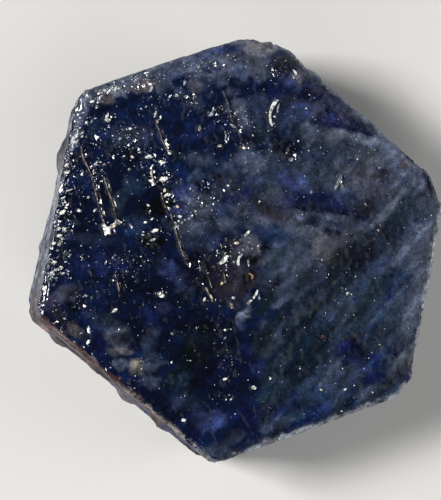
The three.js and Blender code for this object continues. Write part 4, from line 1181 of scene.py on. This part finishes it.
def paint_walls(points, normals, tint):
    """Frosted blue-grey walls, chalky towards the west and stained brown towards the south-west."""
    wall = wall_at(points, normals)
    crumbs = crumbs_at(points)
    bearing = bearing_at(points)
    frosted = clouds(points, size=2.4, octaves=4, seed=131, rough=0.65)
    frosted = frosted + 0.4 * crumbs + 0.2 * ribs_at(points)
    stained = 0.8 * clouds(points * (1, 1, 2.2), size=2.2, octaves=4, seed=136, rough=0.6) + 0.4 * crumbs
    high = 0.3 + 0.7 * step(2.5, 9.0, points[:, 2])
    chalky = high * step(55, 15, np.abs(bearing - CHALKY_WAY))
    browned = high * step(45, 20, np.abs(bearing - STAINED_WAY))
    tint = blend(tint, "steel", 0.75 * wall)
    tint = blend(tint, "haze", 0.8 * wall * step(-0.25, 0.25, frosted))
    tint = blend(tint, "chalk", 0.75 * wall * step(0.25, 0.75, frosted + 0.5 * chalky - 0.3 * browned))
    tint = blend(tint, "brown", 0.85 * wall * step(0.15, 0.75, stained + 0.6 * browned))
    tint = blend(tint, "tan", 0.6 * wall * step(0.3, 0.8, frosted + 0.3 * browned) * browned)
    tint = blend(tint, "umber", 0.6 * wall * step(0.1, -0.5, frosted - 0.4 * browned) * browned)
    return blend(tint, "ink", 0.7 * wall * step(-0.15, -0.4, frosted + 0.1 * chalky))


def paint_rim(points, normals, tint, gap, facing):
    """The worn rim is bruised paler, and brown and sandy along the stained face."""
    worn = step(0.45, 0.0, gap) * step(0.1, 0.5, normals[:, 2]) * step(9.0, 10.5, points[:, 2])
    crumbled = worn * step(-0.3, 0.1, crumbs_at(points))
    stained = facing == STAINED_FACE
    sooner = step(STAIN_ENDS + 6, STAIN_ENDS - 6, bearing_at(points))
    tint = blend(tint, "bruise", 0.8 * crumbled * ~stained)
    tint = blend(tint, "chalk", 0.6 * crumbled * (facing > STAINED_FACE))
    tint = blend(tint, "brown", 0.9 * worn * stained * sooner)
    return blend(tint, "sand", 0.7 * crumbled * stained * (1 - sooner))


def matt_at(points, normals, gap, facing):
    """How matt each point is: the walls, and the rims that look away from the glittering west."""
    rim = step(1.0, 0.4, gap) * ((facing < GLITTERING_FACES[0]) | (facing > GLITTERING_FACES[1]))
    return np.maximum(wall_at(points, normals), 0.8 * rim)


class Marks:
    """Light marks on the front, mostly painted highlights, which the material cuts off sharply.

    `inside` is how far in from a mark's edge each point lies, and `tint` is that mark's colour.
    """

    def __init__(self, count):
        self.inside = np.full(count, -1.0)
        self.tint = np.tile(linear("sand"), (count, 1))

    def add(self, which, deep, colour):
        painted = which[deep > np.maximum(self.inside[which], CHIP_REACH)]
        self.tint[painted] = linear(colour)
        self.inside[which] = np.maximum(self.inside[which], deep)


def mark_front(points, normals, tint):
    """Cracks, splinters and chips: a light mark for each, mostly a painted highlight, with painted shadow
    beside it.
    """
    x, y, z = points.T
    marks = Marks(len(points))
    everywhere = np.arange(len(points))
    for colour, half, _, path in SCRATCHES:
        d, share = near_scratch(points, path)
        strength = step(0, 0.06, share) * step(1, 0.94, share)
        strength = strength * (0.6 + 0.4 * step(-0.5, 0.3, cloud(points, size=0.8, seed=62)))
        # A painted shadow runs beside each crack and splinter.
        tint = blend(tint, "black", 0.9 * strength * ridge(d + 0.24, 0.17))
        marks.add(everywhere, half * strength - np.abs(d), colour)

    finder = Finder(x, y)
    # Each chip's painted shadow, a little east of it.
    for px, py, length, width, turn, _ in CHIPS:
        shadow = (px + 0.16, py - 0.06)
        near = finder.near(shadow, 2.4 * max(length, width))
        deep = chip_shape(x[near], y[near], shadow, length * 1.5, width * 1.7, turn)
        tint[near] = blend(tint[near], "ink", 0.75 * step(-0.05, 0.1, deep))
    for px, py, length, width, turn, colour in CHIPS:
        near = finder.near((px, py), 2 * max(length, width) + 0.3)
        marks.add(near, chip_shape(x[near], y[near], (px, py), length, width, turn), colour)

    # None runs down over the rim.
    marks.inside[(z <= 11.3) | (normals[:, 2] <= 0.3)] = -1.0
    return tint, marks


def keep_colours(mesh, name, *columns):
    """Stores four values for each point, where the material finds them by name."""
    layer = mesh.color_attributes.new(name=name, type="FLOAT_COLOR", domain="POINT")
    layer.data.foreach_set("color", np.column_stack(columns).astype(np.float32).ravel())


def colour_stone(stone):
    """Gives each point its cloudy colour with painted shade and highlights, and says where the stone is
    marked, glitters or is matt.
    """
    points = points_of(stone.data)
    normals = normals_of(stone.data)
    x, y, z = points.T
    gap, facing = in_from_rim(x, y)
    ragged_gap = gap + 0.45 * clouds(points, size=0.7, octaves=3, seed=132, rough=0.7)

    # Clouds drift: the same wander bends all the zones' edges and the streaks.
    drift_x = 0.9 * clouds(points, size=2.6, octaves=3, seed=101) + 0.25 * cloud(points, size=0.5, seed=102)
    drift_y = 0.9 * clouds(points, size=2.6, octaves=3, seed=103) + 0.25 * cloud(points, size=0.5, seed=104)
    tint = paint_zones(points, drift_x, drift_y)
    tint = paint_streaks(points, tint, drift_x, drift_y)
    tint = paint_walls(points, normals, tint)
    tint = paint_rim(points, normals, tint, ragged_gap, facing)
    tint, marks = mark_front(points, normals, tint)

    matt = matt_at(points, normals, ragged_gap, facing)
    up = step(0.3, 0.7, normals[:, 2]) * step(9.0, 11.0, z)
    glint_density = fields(GLITTER, points, 0.05) * up
    frost_glints = fields(FROST_GLINTS, points, 0.0) * up
    opaque = np.ones(len(points))
    keep_colours(stone.data, "tint", np.clip(tint, 0, 1), opaque)
    keep_colours(stone.data, "mark_tint", marks.tint, opaque)
    keep_colours(stone.data, "marks", np.clip(0.5 + marks.inside, 0, 1), glint_density, frost_glints, matt)


stone = crystal_body()
roughen(stone)
etch(stone)
thin_out(stone, MOST_TRIANGLES)
colour_stone(stone)
stone.data.transform(Matrix.Scale(MM, 4) @ Matrix.Translation((AXIS[0], AXIS[1], 0)))

# ---------------------------------------------------------------- the stone's material


class Shader:
    """Adds nodes to a material and joins them up, one call each."""

    def __init__(self, name):
        self.material = bpy.data.materials.new(name)
        self.material.use_nodes = True
        self.tree = self.material.node_tree
        self.surface = self.tree.nodes["Principled BSDF"]

    def add(self, kind, settings=None, **inputs):
        node = self.tree.nodes.new("ShaderNode" + kind)
        for key, value in (settings or {}).items():
            setattr(node, key, value)
        for key, value in inputs.items():
            self.feed(node.inputs[key.replace("_", " ")], value)
        return node

    def feed(self, socket, value):
        if isinstance(value, bpy.types.NodeSocket):
            self.tree.links.new(value, socket)
        else:
            socket.default_value = value

    def math(self, operation, a, b=0.0):
        node = self.add("Math", {"operation": operation})
        self.feed(node.inputs[0], a)
        self.feed(node.inputs[1], b)
        return node.outputs[0]

    def times(self, first, *others):
        for other in others:
            first = self.math("MULTIPLY", first, other)
        return first

    def vectors(self, operation, *values):
        node = self.add("VectorMath", {"operation": operation})
        for socket, value in zip(node.inputs, values):
            self.feed(socket, value)
        return node.outputs[0]

    def scaled(self, vector, factor):
        """A colour or a vector times one number."""
        node = self.add("VectorMath", {"operation": "SCALE"}, Scale=factor)
        self.feed(node.inputs[0], vector)
        return node.outputs[0]

    def drawn_out(self, place, turn, stretch):
        """Places stretched along a turned line, so that a pattern on them is drawn out."""
        node = self.add("Mapping", {"vector_type": "TEXTURE"}, Vector=place, Scale=stretch)
        node.inputs["Rotation"].default_value = (0, 0, math.radians(turn))
        return node.outputs[0]

    def noise(self, place, scale, detail, roughness=0.5, output=0, **inputs):
        node = self.add(
            "TexNoise", Vector=place, Scale=scale, Detail=detail, Roughness=roughness, **inputs
        )
        return node.outputs[output]

    def split(self, colour):
        """The red, green and blue of a colour, which may be any three numbers."""
        return self.add("SeparateColor", Color=colour).outputs

    def ramp(self, value, low, high):
        """0 at low and 1 at high."""
        node = self.add("MapRange", {"interpolation_type": "SMOOTHSTEP"}, Value=value)
        self.feed(node.inputs["From Min"], low)
        self.feed(node.inputs["From Max"], high)
        return node.outputs[0]

    def spread(self, noise, low, high):
        """Noise stretched to run from low to high."""
        node = self.add("MapRange", Value=noise)
        for key, value in (("From Min", 0.3), ("From Max", 0.7), ("To Min", low), ("To Max", high)):
            node.inputs[key].default_value = value
        return node.outputs[0]

    def mix(self, share, a, b):
        node = self.add("Mix", {"data_type": "RGBA", "blend_type": "MIX", "clamp_factor": True})
        for index, value in ((0, share), (6, a), (7, b)):
            self.feed(node.inputs[index], value)
        return node.outputs[2]


# Painted glint specks, from the largest: whether they lie skewed, how many to a millimetre, the smallest
# and the spread of their sizes as a share of their spacing, and the share of the places that have one.
GLINT_SPECKS = (
    (True, 1.5, 0.08, 0.26, 0.6),
    (False, 2.7, 0.16, 0.24, 0.7),
    (False, 4.3, 0.28, 0.2, 0.7),
    (False, 6.0, 0.3, 0.2, 0.12),
)


def paint_glint_specks(nodes, places, glint_density):
    """A painted glint speck in each cell, most of them too small to see, and none where the stone is
    smooth.
    """
    painted_glints = 0.0
    for skewed, scale, smallest, spread, share in GLINT_SPECKS:
        cell = nodes.add("TexVoronoi", {"distance": "MANHATTAN"}, Vector=places[skewed], Scale=scale)
        chance, bulk, light = nodes.split(cell.outputs["Color"])
        chosen = nodes.math("LESS_THAN", chance, nodes.times(glint_density, share))
        size = nodes.times(nodes.math("POWER", bulk, 2.5), spread)
        size = nodes.times(nodes.math("ADD", size, smallest), chosen)
        outside = nodes.ramp(cell.outputs["Distance"], nodes.times(size, 0.6), size)
        spot = nodes.math("SUBTRACT", 1.0, outside)
        spot = nodes.times(spot, chosen, nodes.ramp(light, -0.4, 0.8))
        painted_glints = nodes.math("MAXIMUM", painted_glints, spot)
    return painted_glints


def paint_frost_glints(nodes, place, frost_glints):
    """A broken lace of painted glints, the closer the stronger the frosting."""
    lace = nodes.noise(place, scale=3.4, detail=4.0, roughness=0.75)
    open_part = nodes.math("SUBTRACT", 0.8, nodes.times(frost_glints, 0.36))
    return nodes.times(nodes.ramp(lace, open_part, nodes.math("ADD", open_part, 0.07)), 0.8)


def sapphire():
    """Cloudy blue stone with a glassy, crazed skin: painted highlights, as light marks, glint specks and a
    frosted lace, lie over its tint.
    """
    nodes = Shader("sapphire")
    place = nodes.add("TexCoord").outputs["Object"]
    place = nodes.add("Mapping", Vector=place, Scale=(1 / MM, 1 / MM, 1 / MM)).outputs[0]
    tint = nodes.add("Attribute", {"attribute_name": "tint"}).outputs["Color"]
    mark_tint = nodes.add("Attribute", {"attribute_name": "mark_tint"}).outputs["Color"]
    marks = nodes.add("Attribute", {"attribute_name": "marks"})
    matt = marks.outputs["Alpha"]
    inside, glint_density, frost_glints = nodes.split(marks.outputs["Color"])
    marked = nodes.ramp(inside, 0.49, 0.51)

    # Grain and wisps too fine for the mesh.
    grain = nodes.spread(nodes.noise(place, scale=3.2, detail=4.0, roughness=0.65), 0.65, 1.4)
    fine = nodes.noise(place, scale=7.0, detail=3.0, roughness=0.6)
    streaked = nodes.drawn_out(place, STREAKS_RUN, (2.6, 1, 1))
    wisps = nodes.noise(streaked, scale=1.3, detail=5.0, roughness=0.7, Distortion=0.5)
    shade = nodes.times(grain, nodes.spread(wisps, 0.6, 1.45), nodes.spread(fine, 0.6, 1.5))
    colour = nodes.mix(marked, nodes.scaled(tint, shade), mark_tint)

    # Facets of the crazed surface: some of those in a mark get painted shade, as if they faced away from
    # the light.
    bent = nodes.noise(place, scale=4.0, detail=1.0, output="Color")
    shifted = nodes.vectors("MULTIPLY_ADD", bent, (0.22, 0.22, 0.22), place)
    facet = nodes.add("TexVoronoi", Vector=shifted, Scale=3.4).outputs["Color"]
    away = nodes.ramp(nodes.split(facet)[1], 0.5, 0.62)
    colour = nodes.scaled(colour, nodes.math("SUBTRACT", 1.0, nodes.times(away, marked, 0.75)))

    skewed = nodes.drawn_out(shifted, SKEWED, (1.5, 0.75, 1))
    painted_glints = paint_glint_specks(nodes, (shifted, skewed), glint_density)
    painted_glints = nodes.math("MAXIMUM", painted_glints, paint_frost_glints(nodes, skewed, frost_glints))
    # The glint specks and frosted lace are painted highlights, pale blue to cream.
    glassy = nodes.mix(nodes.ramp(bent, 0.4, 0.6), (0.55, 0.66, 0.80, 1), (0.86, 0.87, 0.80, 1))
    nodes.feed(nodes.surface.inputs["Base Color"], nodes.mix(painted_glints, colour, glassy))

    # Each facet is tipped its own way, over a fine grain.
    bump = nodes.add("Bump", Strength=0.12, Distance=0.00006, Height=fine).outputs[0]
    tip = nodes.vectors("SUBTRACT", facet, (0.5, 0.5, 0.5))
    tip = nodes.scaled(tip, nodes.math("ADD", 0.03, nodes.times(glint_density, 0.75)))
    normal = nodes.vectors("NORMALIZE", nodes.vectors("ADD", bump, tip))
    nodes.feed(nodes.surface.inputs["Normal"], normal)

    blur = nodes.math("ADD", 0.10, nodes.times(grain, 0.08))
    blur = nodes.math("ADD", blur, nodes.times(nodes.math("MAXIMUM", painted_glints, matt), 0.4))
    nodes.feed(nodes.surface.inputs["Roughness"], blur)
    nodes.surface.inputs["IOR"].default_value = 1.77
    return nodes.material


stone.data.materials.append(sapphire())
stone.data.polygons.foreach_set("use_smooth", np.ones(len(stone.data.polygons), dtype=bool))
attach(stone, "root")
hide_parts("sapphire_crystal")

# ---------------------------------------------------------------- floor, lights and camera

STONE_MIDDLE = Vector((0, 0, 0.006))  # what the lamps shine at
DAYLIGHT = (1.0, 0.99, 0.97)
SKYLIGHT = (0.93, 0.97, 1.0)


def look(obj, place, target, up):
    """Puts a light or camera at a place, looking at the target, with its top towards up."""
    back = (place - target).normalized()
    right = up.cross(back).normalized()
    top = back.cross(right)
    turn = Matrix((right, top, back)).transposed().to_4x4()
    obj.matrix_world = Matrix.Translation(place) @ turn


def lamp(name, azimuth, tilt, distance, size, radiance, colour):
    """A soft lamp that shines on the stone, `tilt` degrees from overhead on the `azimuth` side."""
    light = bpy.data.lights.new(name, "AREA")
    light.shape = "RECTANGLE"
    light.size, light.size_y = size
    light.energy = radiance * math.pi * size[0] * size[1]
    light.color = colour
    obj = bpy.data.objects.new(name, light)
    bpy.context.scene.collection.objects.link(obj)
    a, t = math.radians(azimuth), math.radians(tilt)
    way = Vector((math.sin(t) * math.cos(a), math.sin(t) * math.sin(a), math.cos(t)))
    look(obj, way * distance, STONE_MIDDLE, Vector((0, 0, 1)))
    return obj


def room():
    """A little even light from all round."""
    world = bpy.data.worlds.new("room")
    world.use_nodes = True
    world.node_tree.nodes["Background"].inputs["Color"].default_value = (0.9, 0.95, 1.0, 1)
    world.node_tree.nodes["Background"].inputs["Strength"].default_value = 0.03
    bpy.context.scene.world = world


def pale_floor():
    """A wide sheet of pale paper under the stone."""
    sheet = bmesh.new()
    bmesh.ops.create_grid(sheet, x_segments=1, y_segments=1, size=1.5)
    mesh = bpy.data.meshes.new("floor")
    sheet.to_mesh(mesh)
    sheet.free()
    floor = bpy.data.objects.new("floor", mesh)
    bpy.context.scene.collection.objects.link(floor)
    paper = bpy.data.materials.new("pale_paper")
    paper.use_nodes = True
    surface = paper.node_tree.nodes["Principled BSDF"]
    surface.inputs["Base Color"].default_value = (0.80, 0.79, 0.77, 1)
    surface.inputs["Roughness"].default_value = 0.85
    mesh.materials.append(paper)
    return floor


lamp("window", 150, tilt=46, distance=0.5, size=(0.14, 0.14), radiance=42.0, colour=DAYLIGHT)
lamp("sky_panel", -10, tilt=40, distance=0.55, size=(0.42, 0.42), radiance=0.3, colour=SKYLIGHT)
for name, azimuth in (("fill_east", -20), ("fill_south", -100)):
    fill = lamp(name, azimuth, tilt=72, distance=0.6, size=(0.5, 0.3), radiance=3.4, colour=DAYLIGHT)
    fill.visible_glossy = False
room()
pale_floor()

# The camera looks down on the front face from a little to the west, with the crystal turned.
CAMERA_TILT = math.radians(8.0)  # off the face's normal
CAMERA_UP = math.radians(70.5)  # the way that is up in the view, from +X
CAMERA_AWAY = 0.180
VIEW_MIDDLE = (-1.892, 0.192)  # the middle of the view, on the front face

camera_target = Vector((VIEW_MIDDLE[0] + AXIS[0], VIEW_MIDDLE[1] + AXIS[1], FRONT)) * MM
camera_back = Vector((-math.sin(CAMERA_TILT), 0, math.cos(CAMERA_TILT)))
camera_up = Vector((math.cos(CAMERA_UP), math.sin(CAMERA_UP), 0))
lens = bpy.data.cameras.new("camera")
lens.sensor_width = 36.0
lens.lens = 142.56
lens.clip_start = 0.01
camera = bpy.data.objects.new("camera", lens)
bpy.context.scene.collection.objects.link(camera)
look(camera, camera_target + camera_back * CAMERA_AWAY, camera_target, camera_up)
bpy.context.scene.camera = camera
bpy.context.scene.view_settings.view_transform = "Standard"
